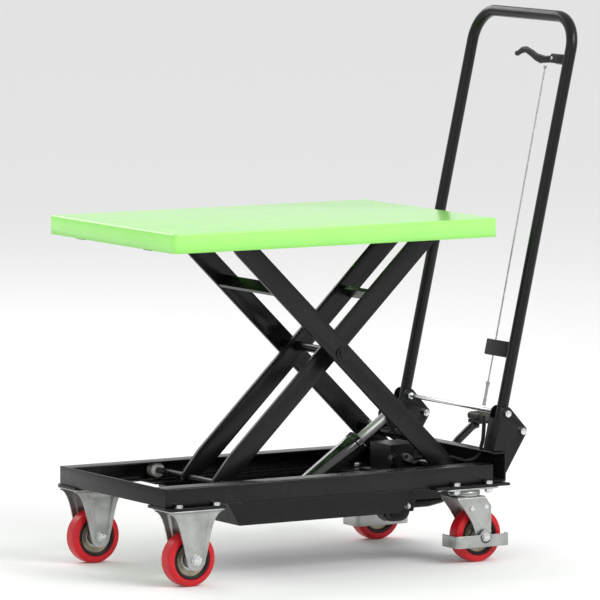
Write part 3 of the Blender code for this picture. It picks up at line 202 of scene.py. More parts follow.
def handle_point(up, y, forward=0.0):
    """The point this far up the handle from its hinge, at a Y, and forward of the handle's plane."""
    return HANDLE_HINGE + up * HANDLE_UP + forward * LEVER_NORMAL + Vector((0.0, y, 0.0))


def handle_coordinates(point):
    """How far up the handle from its hinge, and the Y, of a point on the handle's plane."""
    return ((Vector(point) - HANDLE_HINGE).dot(HANDLE_UP), point[1])


def at_y(point, y):
    return Vector((point.x, y, point.z))


def outward(side):
    return Vector((0, side, 0))


def span_y(side, inner, outer):
    return sorted((side * inner, side * outer))


def in_mm(pairs):
    return [(a * MM, b * MM) for a, b in pairs]


def mirrored(profile):
    """A half profile of (radius, height) points, followed by its other half."""
    return profile + [(r, -h) for r, h in reversed(profile)]


def arc(centre, radius, start, end, steps):
    angles = [math.radians(start + (end - start) * i / steps) for i in range(steps + 1)]
    return [(centre[0] + radius * math.cos(a), centre[1] + radius * math.sin(a)) for a in angles]


def circle(centre, radius, steps=32):
    return arc(centre, radius, 0, 360, steps)[:-1]


def link_outline(first, first_radius, last, last_radius, steps=12):
    """The outline of a link with a round end about each of two points."""
    heading = math.degrees(math.atan2(last[1] - first[1], last[0] - first[0]))
    outline = arc(first, first_radius, heading + 90, heading + 270, steps)
    return outline + arc(last, last_radius, heading - 90, heading + 90, steps)


def rounded_rectangle(low, high, radius, steps=8):
    (x0, y0), (x1, y1) = low, high
    corners = ((x1 - radius, y1 - radius, 0), (x0 + radius, y1 - radius, 90),
               (x0 + radius, y0 + radius, 180), (x1 - radius, y0 + radius, 270))
    return [p for x, y, a in corners for p in arc((x, y), radius, a, a + 90, steps)]


def fillet(before, corner, after, radius, steps):
    """The points of a rounded corner, or the corner itself where it is nearly straight."""
    back, onward = (before - corner), (after - corner)
    half = back.angle(onward) / 2
    if half > math.radians(86):
        return [corner]
    reach = min(radius / math.tan(half), 0.48 * back.length, 0.48 * onward.length)
    back.normalize()
    onward.normalize()
    bend = reach * math.tan(half)
    middle = corner + (back + onward).normalized() * bend / math.sin(half)
    first = (corner + back * reach - middle).normalized()
    last = (corner + onward * reach - middle).normalized()
    return [middle + bend * first.slerp(last, i / steps) for i in range(steps + 1)]


def soften(outline, radius, steps=4, bends=None):
    """The closed outline with its corners rounded. bends gives some corners, by index, their own radius."""
    bends = bends or {}
    points = [Vector((x, y, 0)) for x, y in outline]
    rounded = []
    for i, corner in enumerate(points):
        before, after = points[i - 1], points[(i + 1) % len(points)]
        rounded += fillet(before, corner, after, bends.get(i, radius), steps)
    return [(p.x, p.y) for p in rounded]


def filleted(points, radius, steps):
    """The open route with its corners rounded."""
    points = [Vector(p) for p in points]
    route = [points[0]]
    for before, corner, after in zip(points, points[1:], points[2:]):
        route += fillet(before, corner, after, radius, steps)
    return route + [points[-1]]


def add_object(name, data):
    obj = bpy.data.objects.new(name, data)
    bpy.context.scene.collection.objects.link(obj)
    return obj


class Piece:
    """Collects shapes into one object, which rides on a body of the frame."""

    def __init__(self, name, *materials):
        self.name = name
        self.materials = materials
        self.bm = bmesh.new()

    def take(self, part, material, place=None):
        """Moves a bmesh into the piece, smooth and in one of the piece's materials."""
        if place:
            bmesh.ops.transform(part, matrix=place, verts=part.verts)
        for face in part.faces:
            face.material_index = material
            face.smooth = True
        mesh = bpy.data.meshes.new("part")
        part.to_mesh(mesh)
        part.free()
        self.bm.from_mesh(mesh)
        bpy.data.meshes.remove(mesh)

    def from_curve(self, curve, material, place=None):
        source = add_object("curve", curve)
        graph = bpy.context.evaluated_depsgraph_get()
        mesh = bpy.data.meshes.new_from_object(source.evaluated_get(graph))
        bpy.data.objects.remove(source, do_unlink=True)
        bpy.data.curves.remove(curve)
        part = bmesh.new()
        part.from_mesh(mesh)
        bpy.data.meshes.remove(mesh)
        bmesh.ops.remove_doubles(part, verts=part.verts, dist=MERGE)
        bmesh.ops.recalc_face_normals(part, faces=part.faces)
        self.take(part, material, place)

    def plate(self, outline, low, high, plane="XZ", holes=(), bevel=0.6 * MM, material=0):
        """A flat sheet with rounded edges and holes, between two distances along its plane's normal."""
        curve = bpy.data.curves.new("plate", "CURVE")
        curve.dimensions = "2D"
        curve.fill_mode = "BOTH"
        bevel = min(bevel, 0.45 * abs(high - low))
        curve.extrude = abs(high - low) / 2 - bevel
        curve.bevel_depth = bevel
        curve.bevel_resolution = 2
        curve.offset = -bevel
        for loop in (outline, *holes):
            spline = curve.splines.new("POLY")
            spline.points.add(len(loop) - 1)
            for point, (across, up) in zip(spline.points, loop):
                point.co = (across, up, 0.0, 1.0)
            spline.use_cyclic_u = True
        turn, sign = PLANES[plane]
        self.from_curve(curve, material, turn @ Matrix.Translation((0, 0, sign * (low + high) / 2)))

    def box(self, low, high, bevel=0.6 * MM, material=0):
        """A block between two corners, with rounded edges."""
        low, high = Vector(low), Vector(high)
        part = bmesh.new()
        place = Matrix.LocRotScale((low + high) / 2, None, high - low)
        bmesh.ops.create_cube(part, size=1.0, matrix=place)
        bmesh.ops.bevel(part, geom=part.edges[:], offset=bevel, segments=2, affect="EDGES", profile=0.5)
        self.take(part, material)

    def rod(self, start, end, radius, segments=40, bevel=0.5 * MM, material=0):
        """A round bar between two points, with its two rims rounded."""
        start, end = Vector(start), Vector(end)
        part = bmesh.new()
        bmesh.ops.create_cone(part, cap_ends=True, segments=segments, radius1=radius, radius2=radius,
                              depth=(end - start).length)
        if bevel:
            rims = [e for e in part.edges if e.calc_face_angle(0) > math.radians(40)]
            bmesh.ops.bevel(part, geom=rims, offset=bevel, segments=2, affect="EDGES", profile=0.5)
        turn = (end - start).to_track_quat("Z", "Y")
        self.take(part, material, Matrix.LocRotScale((start + end) / 2, turn, None))

    def nut(self, start, axis, across_flats, height, material=0, washer=True, stud=0.0):
        """A chamfered hexagon with a washer under it and, for a nut, the end of its stud."""
        base, axis = Vector(start), Vector(axis).normalized()
        if washer:
            washer_top = base + axis * 1.2 * MM
            self.rod(base, washer_top, across_flats * 0.62, 32, 0.3 * MM, material)
            base = washer_top
        part = bmesh.new()
        radius = across_flats / math.sqrt(3)
        bmesh.ops.create_cone(part, cap_ends=True, segments=6, radius1=radius, radius2=radius,
                              depth=height)
        top = [e for e in part.edges if all(v.co.z > 0 for v in e.verts)]
        bmesh.ops.bevel(part, geom=top, offset=0.9 * MM, segments=2, affect="EDGES", profile=0.6)
        turn = axis.to_track_quat("Z", "Y")
        self.take(part, material, Matrix.LocRotScale(base + axis * height / 2, turn, None))
        crown = base + axis * height
        dome_low, dome_high = crown - axis * 0.5 * MM, crown + axis * 0.35 * MM
        self.rod(dome_low, dome_high, across_flats * 0.40, 28, 0.2 * MM, material)
        if stud:
            self.rod(crown, crown + axis * stud, across_flats * 0.29, 20, 0.4 * MM, material)

    def tube(self, route, radius, resolution, material=0):
        """A round tube with capped ends along a route."""
        curve = bpy.data.curves.new("tube", "CURVE")
        curve.dimensions = "3D"
        curve.bevel_depth = radius
        curve.bevel_resolution = resolution
        curve.use_fill_caps = True
        spline = curve.splines.new("POLY")
        spline.points.add(len(route) - 1)
        for point, place in zip(spline.points, route):
            point.co = (*place, 1.0)
        self.from_curve(curve, material)

    def turned(self, profile, centre, axis, steps, material=0):
        """A closed profile of (radius, height) points turned about an axis."""
        part = bmesh.new()
        verts = [part.verts.new((r, 0.0, h)) for r, h in profile]
        edges = [part.edges.new((verts[i], verts[(i + 1) % len(verts)])) for i in range(len(verts))]
        bmesh.ops.spin(part, geom=verts + edges, cent=(0, 0, 0), axis=Z_AXIS, angle=2 * math.pi,
                       steps=steps, use_duplicate=False)
        bmesh.ops.remove_doubles(part, verts=part.verts, dist=MERGE)
        bmesh.ops.recalc_face_normals(part, faces=part.faces)
        turn = Vector(axis).to_track_quat("Z", "Y")
        self.take(part, material, Matrix.LocRotScale(Vector(centre), turn, None))

    def done(self, body, replaces=()):
        """Makes the object, which rides on a body and stands for CAD nodes."""
        mesh = bpy.data.meshes.new(self.name)
        self.bm.to_mesh(mesh)
        self.bm.free()
        for material in self.materials:
            mesh.materials.append(material)
        mesh.shade_smooth()
        mesh.set_sharp_from_angle(angle=math.radians(38))
        obj = add_object(self.name, mesh)
        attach(obj, body)
        if replaces:
            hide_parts(*replaces)


# ---- Platform ----

TRAY_CORNER = 9 * MM
TRAY_ROLL = 3.2 * MM
TRAY_SHEET = 2.5 * MM
RAIL_BEND = 2.5 * MM


def tray_loop(part, low, high, inset, z):
    corners = (low.x + inset, low.y + inset), (high.x - inset, high.y - inset)
    return [part.verts.new((x, y, z)) for x, y in rounded_rectangle(*corners, TRAY_CORNER - inset)]


def make_platform():
    """A pressed tray: one sheet with rolled edges and an open underside."""
    low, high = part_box("platform")
    part = bmesh.new()
    loops = [tray_loop(part, low, high, 0.0, low.z)]
    for degrees in range(0, 91, 15):
        angle = math.radians(degrees)
        inset, drop = TRAY_ROLL * (1 - math.cos(angle)), TRAY_ROLL * (1 - math.sin(angle))
        loops.append(tray_loop(part, low, high, inset, high.z - drop))
    for below, above in zip(loops, loops[1:]):
        for i in range(len(below)):
            j = (i + 1) % len(below)
            part.faces.new((below[i], below[j], above[j], above[i]))
    part.faces.new(loops[-1])
    bmesh.ops.recalc_face_normals(part, faces=part.faces)
    mesh = bpy.data.meshes.new("platform_tray")
    part.to_mesh(mesh)
    part.free()
    mesh.materials.append(GREEN)
    mesh.shade_smooth()
    tray = add_object("platform_tray", mesh)
    sheet = tray.modifiers.new("sheet", "SOLIDIFY")
    sheet.thickness = TRAY_SHEET
    sheet.offset = -1.0
    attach(tray, "deck")
    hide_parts("platform")


def channel(outer_y, inner_y, low_z, high_z, sheet):
    """The section of a C rail with its web at outer_y and its open side at inner_y."""
    side = 1 if outer_y > inner_y else -1
    back = outer_y - side * sheet
    section = [(outer_y, low_z), (outer_y, high_z), (inner_y, high_z), (inner_y, high_z - sheet),
               (back, high_z - sheet), (back, low_z + sheet), (inner_y, low_z + sheet), (inner_y, low_z)]
    inside_bend = 0.8 * MM
    return soften(section, 0.9 * MM, 4, {0: RAIL_BEND, 1: RAIL_BEND, 4: inside_bend, 5: inside_bend})


def make_platform_rails():
    for label, side in SIDES.items():
        node = f"platform_rail_{label}"
        low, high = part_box(node)
        web, lip = (low.y, high.y) if side < 0 else (high.y, low.y)
        piece = Piece(node + "_section", BLACK)
        piece.plate(channel(web, lip, low.z, high.z, 2.7 * MM), low.x, high.x, "YZ", bevel=0.4 * MM)
        piece.done("deck", [node])


# ---- Scissor ----

ARM_HALF = 20 * MM
ARM_KNEE = 33 * MM
LOWER_ARM_KNEE = 50 * MM
ARM_END = 16 * MM
LOWER_ARM_END = 14 * MM
PIN_HOLE = 6.15 * MM
CENTRE_HOLE = 8.15 * MM
RAM_RADIUS = 10 * MM
CYLINDER_LENGTH = 246.3 * MM
CROSS_TUBE_REACH = 95 * MM
REAR_COLLAR_HALF = 93.7 * MM
REAR_PIVOT = joint_point("lift")
CENTRE = joint_point("inner_arm_pivot")
UPPER_PIVOT = joint_point("deck_pivot")
RAM_PIN = joint_point("ram_pivot")
UPPER_ROLLER = REAR_PIVOT + 2 * (CENTRE - REAR_PIVOT)
LOWER_ROLLER = UPPER_PIVOT + 2 * (CENTRE - UPPER_PIVOT)


def make_flat_arm(node, body, origin, end, radii, knees):
    """A flat bar, which narrows outside its two knees to a round end about each pin."""
    low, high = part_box(node)
    along = (end - origin).normalized()
    across = Vector((-along.z, 0.0, along.x))
    if across.z < 0:
        across = -across
    length = (end - origin).length
    first, last = knees[0], length - knees[1]
    local = arc((0.0, 0.0), radii[0], 100, 260, 16)
    local += [(first, -ARM_HALF), (last, -ARM_HALF)]
    local += arc((length, 0.0), radii[1], -80, 80, 16)
    local += [(last, ARM_HALF), (first, ARM_HALF)]
    outline = [origin + s * along + t * across for s, t in local]
    pins = [(origin, PIN_HOLE), (CENTRE, CENTRE_HOLE), (end, PIN_HOLE)]
    holes = [circle((pin.x, pin.z), radius) for pin, radius in pins]
    piece = Piece(node + "_bar", BLACK)
    piece.plate([(p.x, p.z) for p in outline], low.y, high.y, "XZ", holes, bevel=0.9 * MM)
    piece.done(body, [node])


def make_centre_cap(label, side):
    """The washer and the rounded end of the centre shaft, on the outside of an outer arm."""
    low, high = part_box(f"outer_arm_{label}")
    start = at_y(CENTRE, low.y if side < 0 else high.y)
    out = outward(side)
    cap = Piece(f"centre_pivot_{label}", BLACK)
    cap.rod(start + out * 0.2 * MM, start + out * 1.8 * MM, 14 * MM, bevel=0.4 * MM)
    cap.rod(start + out * 1.6 * MM, start + out * 4.2 * MM, 8.4 * MM, bevel=0.8 * MM)
    cap.done("outer_arms")


def make_arms():
    for label, side in SIDES.items():
        make_flat_arm(f"outer_arm_{label}", "outer_arms", REAR_PIVOT, UPPER_ROLLER, (ARM_END, ARM_END),
                      (ARM_KNEE, ARM_KNEE))
        make_flat_arm(f"inner_arm_{label}", "inner_arms", LOWER_ROLLER, UPPER_PIVOT, (LOWER_ARM_END, ARM_END),
                      (LOWER_ARM_KNEE, ARM_KNEE))
        make_centre_cap(label, side)


def make_shafts():
    shafts = {
        "centre_shaft": ("outer_arms", 8 * MM),
        "upper_roller_shaft": ("outer_arms", 6 * MM),
        "lower_roller_shaft": ("inner_arms", 6 * MM),
        "upper_pivot_shaft": ("deck", 6 * MM),
        "rear_pivot_shaft": ("base", 6 * MM),
    }
    for node, (body, radius) in shafts.items():
        low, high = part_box(node)
        middle = (low + high) / 2
        piece = Piece(node + "_turned", BLACK)
        piece.rod(at_y(middle, low.y), at_y(middle, high.y), radius, bevel=0.8 * MM)
        if node == "rear_pivot_shaft":
            piece.rod(at_y(middle, -REAR_COLLAR_HALF), at_y(middle, REAR_COLLAR_HALF), 10 * MM)
        piece.done(body, [node])


def make_rollers():
    profile = mirrored(in_mm([(6.3, -11.0), (10.5, -11.0), (12.6, -10.4), (14.0, -8.8)]))
    for label in SIDES:
        for level in ("upper", "lower"):
            node = f"{level}_roller_{label}"
            low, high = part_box(node)
            piece = Piece(node + "_turned", NYLON)
            piece.turned(profile, (low + high) / 2, Y_AXIS, 48)
            piece.done(f"{level}_roller_body_{label}", [node])


def make_lift_cross_tube():
    """The tube between the outer arms, and its two ears with the pin that the ram pushes."""
    node = "lift_cross_tube"
    low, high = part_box(node)
    centre = REAR_PIVOT + CROSS_TUBE_REACH * (UPPER_ROLLER - REAR_PIVOT).normalized()
    piece = Piece(node + "_welded", BLACK, BRIGHT)
    piece.rod(at_y(centre, low.y), at_y(centre, high.y), 12 * MM)
    ear = link_outline((centre.x, centre.z), 10.5 * MM, (RAM_PIN.x, RAM_PIN.z), 12 * MM)
    weld = in_mm([(12.0, -1.6), (14.6, -1.6), (12.0, 1.4)])
    pin_radius, pin_end = 5 * MM, 21 * MM
    for side in SIDES.values():
        piece.plate(ear, *span_y(side, 12 * MM, 18 * MM))
        piece.turned(weld, at_y(centre, side * 19.5 * MM), outward(side), 36)
        piece.rod(at_y(RAM_PIN, side * 17 * MM), at_y(RAM_PIN, side * pin_end), pin_radius, material=1)
    piece.rod(at_y(RAM_PIN, -pin_end), at_y(RAM_PIN, pin_end), pin_radius, 32, material=1)
    piece.done("outer_arms", [node])


def make_cylinder():
    """The ram with its eye, and the barrel with its foot, gland nut and seal."""
    along = -Vector(JOINTS["barrel_slide"]["axis"])
    foot = RAM_PIN - along * CYLINDER_LENGTH
    ram = Piece("cylinder_ram_polished", SATIN)
    ram.rod(RAM_PIN - along * 9 * MM, RAM_PIN - along * 160 * MM, RAM_RADIUS)
    eye = in_mm([(5.3, -10.5), (10.2, -10.5), (11.0, -9.7), (11.0, 9.7), (10.2, 10.5), (5.3, 10.5)])
    ram.turned(eye, RAM_PIN, Y_AXIS, 48)
    ram.done("ram", ["cylinder_ram"])

    bore = [(0.0, 12.0), (10.4, 12.0), (10.4, 162.2)]
    gland = [(11.2, 163.0), (20.8, 163.0), (22.0, 161.8), (22.0, 152.2), (20.8, 151.0)]
    wall = [(20.0, 150.0), (20.0, 9.0), (18.8, 6.0)]
    neck = [(15.0, 0.0), (12.0, -13.0), (10.6, -14.0), (0.0, -14.0)]
    barrel = Piece("cylinder_barrel_turned", BARREL, BRIGHT)
    barrel.turned(in_mm(bore + gland + wall + neck), foot, along, 56)
    seal = in_mm([(10.3, 162.6), (13.4, 162.6), (13.4, 163.6), (12.4, 164.4), (10.3, 164.4)])
    barrel.turned(seal, foot, along, 48, material=1)
    barrel.done("barrel", ["cylinder_barrel"])


# ---- Base ----

SHEET = 3 * MM
GAP = 0.3 * MM
RAIL_HEIGHT = 35 * MM
RAIL_WIDTH = 38 * MM
CASTER_Y = abs(joint_point("rear_swivel_left").y)
FRONT_AXLE = joint_point("front_wheel_spin_left")
REAR_AXLE = joint_point("rear_wheel_spin_left")
SWIVEL = joint_point("rear_swivel_left")

BRACKET_INNER = 147 * MM
BRACKET_OUTER = 183 * MM
BRACKET_NUT_GAP = 0.2 * MM
BOLT_RADIUS = 4 * MM
BOLT_HOLE = 4.4 * MM


def make_base_rails():
    """C rails with a caster plate welded under each end."""
    for label, side in SIDES.items():
        node = f"base_rail_{label}"
        low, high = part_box(node)
        cross_low, cross_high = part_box("front_crossmember")
        web = side * cross_high.y
        rail_low_z = high.z - RAIL_HEIGHT
        front_x = cross_low.x + SHEET + GAP
        rear_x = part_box("rear_crossmember")[0].x - GAP
        piece = Piece(node + "_section", BLACK, RING)
        section = channel(web, web - side * RAIL_WIDTH, rail_low_z, high.z, SHEET)
        piece.plate(section, front_x, rear_x, "YZ", bevel=0.4 * MM)
        plate_top = rail_low_z + GAP
        inner_y, outer_y, corner = 131 * MM, 207 * MM, 18 * MM
        plate_rear_x = front_x + 114.7 * MM
        front = [(plate_rear_x, side * inner_y), (plate_rear_x, side * outer_y)]
        front += [(x, side * y) for x, y in arc((low.x + corner, outer_y - corner), corner, 90, 180, 10)]
        front += [(low.x, side * inner_y)]
        piece.plate(front, low.z, plate_top, "XY", bevel=0.8 * MM)
        rear_low_y, rear_high_y = span_y(side, 125 * MM, 205 * MM)
        rear_plate_x = high.x - 165 * MM
        piece.box((rear_plate_x, rear_low_y, low.z), (high.x, rear_high_y, plate_top), bevel=0.8 * MM)
        pivot, out = at_y(REAR_PIVOT, web), outward(side)
        piece.rod(pivot - out * 0.3 * MM, pivot + out * 0.1 * MM, 6.8 * MM, 32, 0.1 * MM, material=1)
        piece.done("base", [node])


def make_crossmembers():
    low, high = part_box("front_crossmember")
    piece = Piece("front_crossmember_angle", BLACK)
    piece.box(low, (low.x + SHEET, high.y, high.z), bevel=1.0 * MM)
    foot_half = 134 * MM
    piece.box((low.x + 1 * MM, -foot_half, low.z), (high.x, foot_half, low.z + 2.4 * MM))
    piece.done("base", ["front_crossmember"])

    low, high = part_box("rear_crossmember")
    back_x = high.x - SHEET
    section = [(low.x, low.z), (high.x, low.z), (high.x, high.z), (low.x, high.z), (low.x, high.z - SHEET),
               (back_x, high.z - SHEET), (back_x, low.z + SHEET), (low.x, low.z + SHEET)]
    piece = Piece("rear_crossmember_section", BLACK)
    outline = soften(section, 0.9 * MM, 5, {1: SHEET, 2: SHEET})
    piece.plate(outline, low.y, high.y, "XZ", bevel=0.4 * MM)
    piece.done("base", ["rear_crossmember"])


def bracket_nuts(piece, bolt, side):
    """A nut on the inner and one on the outer cheek of a bracket, round the bolt through a point."""
    out = outward(side)
    for y, axis in ((BRACKET_OUTER + BRACKET_NUT_GAP, out), (BRACKET_INNER - BRACKET_NUT_GAP, -out)):
        piece.nut(at_y(bolt, side * y), axis, 12.4 * MM, 6.0 * MM, washer=False)


def make_brackets():
    """Folded brackets, each with two cheeks and a web, that hold the handle's feet."""
    hinge = HANDLE_HINGE
    for label, side in SIDES.items():
        node = f"handle_bracket_{label}"
        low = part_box(node)[0]
        bolt_low, bolt_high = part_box(f"bracket_bolt_{label}")
        bolt = (bolt_low + bolt_high) / 2
        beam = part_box("rear_crossmember")[1]
        foot_z = beam.z + GAP
        back_x = beam.x + 1.3 * MM
        shoulder_x, shoulder_z = low.x + 12.5 * MM, hinge.z - 9 * MM
        outline = [(low.x, foot_z), (shoulder_x, shoulder_z)]
        outline += arc((hinge.x, hinge.z), 13 * MM, 168, 52, 12)
        outline += arc((bolt.x, bolt.z), 11 * MM, 52, -28, 10)
        outline += [(back_x, low.z), (back_x, foot_z)]
        holes = [circle((hinge.x, hinge.z), BOLT_HOLE), circle((bolt.x, bolt.z), BOLT_HOLE)]
        web_sheet = 2.2 * MM
        web = [(low.x, foot_z), (shoulder_x, shoulder_z), (shoulder_x + web_sheet, shoulder_z),
               (low.x + web_sheet, foot_z)]
        piece = Piece(node + "_folded", BLACK)
        for inner in (BRACKET_INNER, BRACKET_OUTER - SHEET):
            piece.plate(outline, *span_y(side, inner, inner + SHEET), "XZ", holes, bevel=0.7 * MM)
        piece.plate(web, *span_y(side, BRACKET_INNER, BRACKET_OUTER), bevel=0.5 * MM)
        piece.done("base", [node])

        fixings = Piece(f"bracket_bolt_{label}_turned", BRIGHT)
        fixings.rod(at_y(bolt, side * 139 * MM), at_y(bolt, side * 190 * MM), BOLT_RADIUS, 24)
        bracket_nuts(fixings, bolt, side)
        fixings.done("base", [f"bracket_bolt_{label}"])


def make_handle_rod():
    low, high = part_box("handle_rod")
    rod = Piece("handle_rod_turned", BRIGHT)
    rod.rod(at_y(HANDLE_HINGE, low.y), at_y(HANDLE_HINGE, high.y), BOLT_RADIUS, 32)
    for side in SIDES.values():
        bracket_nuts(rod, HANDLE_HINGE, side)
    rod.done("base", ["handle_rod"])


# ---- Handle ----


def make_handle_tube():
    """One tube bent at its two top corners, with the two cheeks that hold the release lever."""
    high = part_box("handle_tube")[1]
    radius, bend, foot = 10.8 * MM, 60 * MM, -30 * MM
    top = (high.z - radius - HANDLE_HINGE.z) / HANDLE_UP.z
    reach = high.y - radius
    corners = [(foot, -reach), (top, -reach), (top, reach), (foot, reach)]
    piece = Piece("handle_bar", BLACK, BRIGHT)
    piece.tube(filleted([handle_point(up, y) for up, y in corners], bend, 16), radius, 12)

    up, y = handle_coordinates(joint_point("release_lever_pivot"))
    near_y, far_y, half = -reach + 4 * MM, y + 8 * MM, 9 * MM
    cheek = soften([(near_y, up - half), (far_y, up - half), (far_y, up + half), (near_y, up + half)], 6 * MM)
    for start in (-9 * MM, 4 * MM):
        piece.plate(cheek, start, start + 5 * MM, "HANDLE", bevel=1.0 * MM)
    piece.rod(handle_point(up, y, -10 * MM), handle_point(up, y, 10 * MM), 3 * MM, 24, material=1)
    piece.done("handle", ["handle_tube"])


def make_release_lever():
    """A pressed lever with a curved finger grip. Its outline goes across and up from the handle's hinge."""
    up, y = handle_coordinates(joint_point("release_lever_pivot"))
    under = [(-95, 663), (-75, 660.5), (-58, 664.5), (-42, 671), (-20, 678.5), (-6, 675.5), (4, 670.5)]
    over = [(-6, 688.5), (-20, 690.5), (-42, 685), (-60, 679), (-89, 676)]
    outline = arc((y, up), 7.5 * MM, 110, 250, 8) + in_mm(under)
    outline += arc((8 * MM, 675.5 * MM), 5 * MM, -70, 110, 8) + in_mm(over)
    lever = Piece("release_lever_pressed", BLACK)
    lever.plate(outline, -3 * MM, 3 * MM, "HANDLE", bevel=2.2 * MM)
    lever.done("lever", ["release_lever"])


def make_cable_guide():
    """Two cheeks either side of the release wire, with the wall that joins them to the tube."""
    low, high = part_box("cable_guide")
    middle_up = handle_coordinates((low + high) / 2)[0]
    low_up, high_up, wall_y = middle_up - 15 * MM, middle_up + 15 * MM, -105.5 * MM
    cheek = soften([(low.y, low_up), (high.y, low_up), (high.y, high_up), (low.y, high_up)], 2.5 * MM)
    wall = [(low.y, low_up), (wall_y, low_up), (wall_y, high_up), (low.y, high_up)]
    guide = Piece("cable_guide_block", BLACK)
    guide.plate(cheek, -5 * MM, -1.9 * MM, "HANDLE", bevel=0.8 * MM)
    guide.plate(cheek, 1.9 * MM, 5 * MM, "HANDLE", bevel=0.8 * MM)
    guide.plate(wall, -3 * MM, 3 * MM, "HANDLE", bevel=0.5 * MM)
    guide.done("handle", ["cable_guide"])


# ---- Release cable ----


def twisted_strand(foot, top, start):
    """The path of one strand, which winds about the wire from a starting angle."""
    along = (top - foot).normalized()
    side = along.orthogonal().normalized()
    over = along.cross(side)
    pitch, steps_a_turn, radius = 9 * MM, 8, 0.9 * MM
    steps = int((top - foot).length / pitch * steps_a_turn)
    strand = []
    for i in range(steps + 1):
        angle = start + 2 * math.pi * i / steps_a_turn
        spot = foot + (top - foot) * (i / steps)
        strand.append(spot + (side * math.cos(angle) + over * math.sin(angle)) * radius)
    return strand


def make_release_cable():
    """The twisted wire, with a threaded sleeve at its foot and a nipple at its top."""
    top, foot = handle_point(656 * MM, -92.5 * MM), handle_point(8 * MM, -104 * MM)
    along = (top - foot).normalized()
    wire = Piece("release_cable_wire", STEEL, ZINC)
    wire.rod(foot, top, 1.5 * MM, 20, 0)
    for start in (0.0, math.pi):
        wire.tube(twisted_strand(foot, top, start), 0.9 * MM, 1)
    sleeve = ((-1, 5, 3.9, 6, 0.5), (4, 39, 2.9, 28, 0.4), (38, 45, 3.9, 28, 0.8), (9, 12, 3.6, 28, 0.4))
    for first, last, radius, segments, bevel in sleeve:
        wire.rod(foot + along * first * MM, foot + along * last * MM, radius * MM, segments, bevel * MM, 1)
    wire.rod(top - along * 4 * MM, top + along * 1 * MM, 3.2 * MM, 24, 0.5 * MM, 1)
    wire.done("cable", ["release_cable"])


def make_cable_conduit():
    """A ribbed sheath from the handle's rod to the pump. Its corners are set out from the hinge in X."""
    corners = [(-4.0, -112.0, 262.0), (-7.5, -118.0, 245.0), (-13.5, -124.0, 220.0), (-19.5, -127.0, 208.0),
               (-21.5, -127.0, 198.0), (-28.5, -126.0, 187.0), (-43.5, -118.0, 180.0), (-58.5, -90.0, 185.0),
               (-80.5, -50.0, 185.0), (-98.5, -18.0, 178.0)]
    route = filleted([(HANDLE_HINGE.x + x * MM, y * MM, z * MM) for x, y, z in corners], 30 * MM, 6)
    sheath = Piece("cable_conduit_ribbed", SHEATH)
    sheath.tube(route, 3.4 * MM, 6)
    pitch, rib_half, rib_radius = 3.2 * MM, 0.7 * MM, 4.1 * MM
    distance = 0.0
    for before, after in zip(route, route[1:]):
        step = after - before
        heading = step.normalized()
        while distance < step.length:
            spot = before + step * (distance / step.length)
            sheath.rod(spot - heading * rib_half, spot + heading * rib_half, rib_radius, 16, 0.3 * MM)
            distance += pitch
        distance -= step.length
    sheath.done("base", ["cable_conduit"])


# ---- Casters ----

FORK_FACE = 29 * MM
LEG_COLUMNS = 36
PLATE_HALF = 36 * MM
PLATE_CORNER = 6 * MM
PLATE_BOLT_Y = 28 * MM
AXLE_RADIUS = 6 * MM


def make_tyre(end, label, centre):
    """A moulded tread with rounded shoulders."""
    name = f"{end}_wheel_{label}"
    low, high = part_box(name + "_tyre")
    radius, half = (high.z - low.z) / 2, (high.y - low.y) / 2
    rim, shoulder = 37 * MM, 7 * MM
    crown = [(rim, half - 1.6 * MM), (rim + 1.0 * MM, half - 0.4 * MM)]
    crown += arc((radius - shoulder, half - shoulder), shoulder, 90, 0, 9)
    tyre = Piece(name + "_tread", RED)
    tyre.turned(mirrored(crown), centre, Y_AXIS, 96)
    tyre.done(f"{end}_wheel_body_{label}", [name + "_tyre"])
    return half


def make_hub(end, label, centre, tyre_half):
    """A hub with its bearing boss, its black outer ring and a steel dust shield on each face."""
    name = f"{end}_wheel_{label}"
    edge = tyre_half - 1.0 * MM
    boss = [(6.4, 24.0), (10.6, 24.0), (11.0, 23.4), (11.0, 12.6), (13.0, 12.2)]
    web = [(13.2, 11.0), (28.4, 9.2), (30.2, 9.8), (31.0, 11.4)]
    ring = [(31.0 * MM, 11.4 * MM), (31.6 * MM, edge - 0.6 * MM), (32.4 * MM, edge), (36.0 * MM, edge),
            (36.7 * MM, edge - 0.8 * MM)]
    shield = in_mm([(13.4, 11.0), (19.6, 11.4), (20.4, 11.0), (20.4, 9.4), (13.4, 9.4)])
    core = Piece(name + "_core", RING, TAN, STEEL)
    core.turned(mirrored(in_mm(boss + web)), centre, Y_AXIS, 72, 1)
    core.turned(mirrored(ring), centre, Y_AXIS, 72, 0)
    for way in (1, -1):
        core.turned([(r, way * h) for r, h in shield], centre, Y_AXIS, 56, 2)
    core.done(f"{end}_wheel_body_{label}", [name + "_hub"])


def make_wheels():
    for end, place in {"front": FRONT_AXLE, "rear": REAR_AXLE}.items():
        for label, side in SIDES.items():
            centre = at_y(place, side * CASTER_Y)
            tyre_half = make_tyre(end, label, centre)
            make_hub(end, label, centre, tyre_half)


def clamp(share):
    return min(1.0, max(0.0, share))


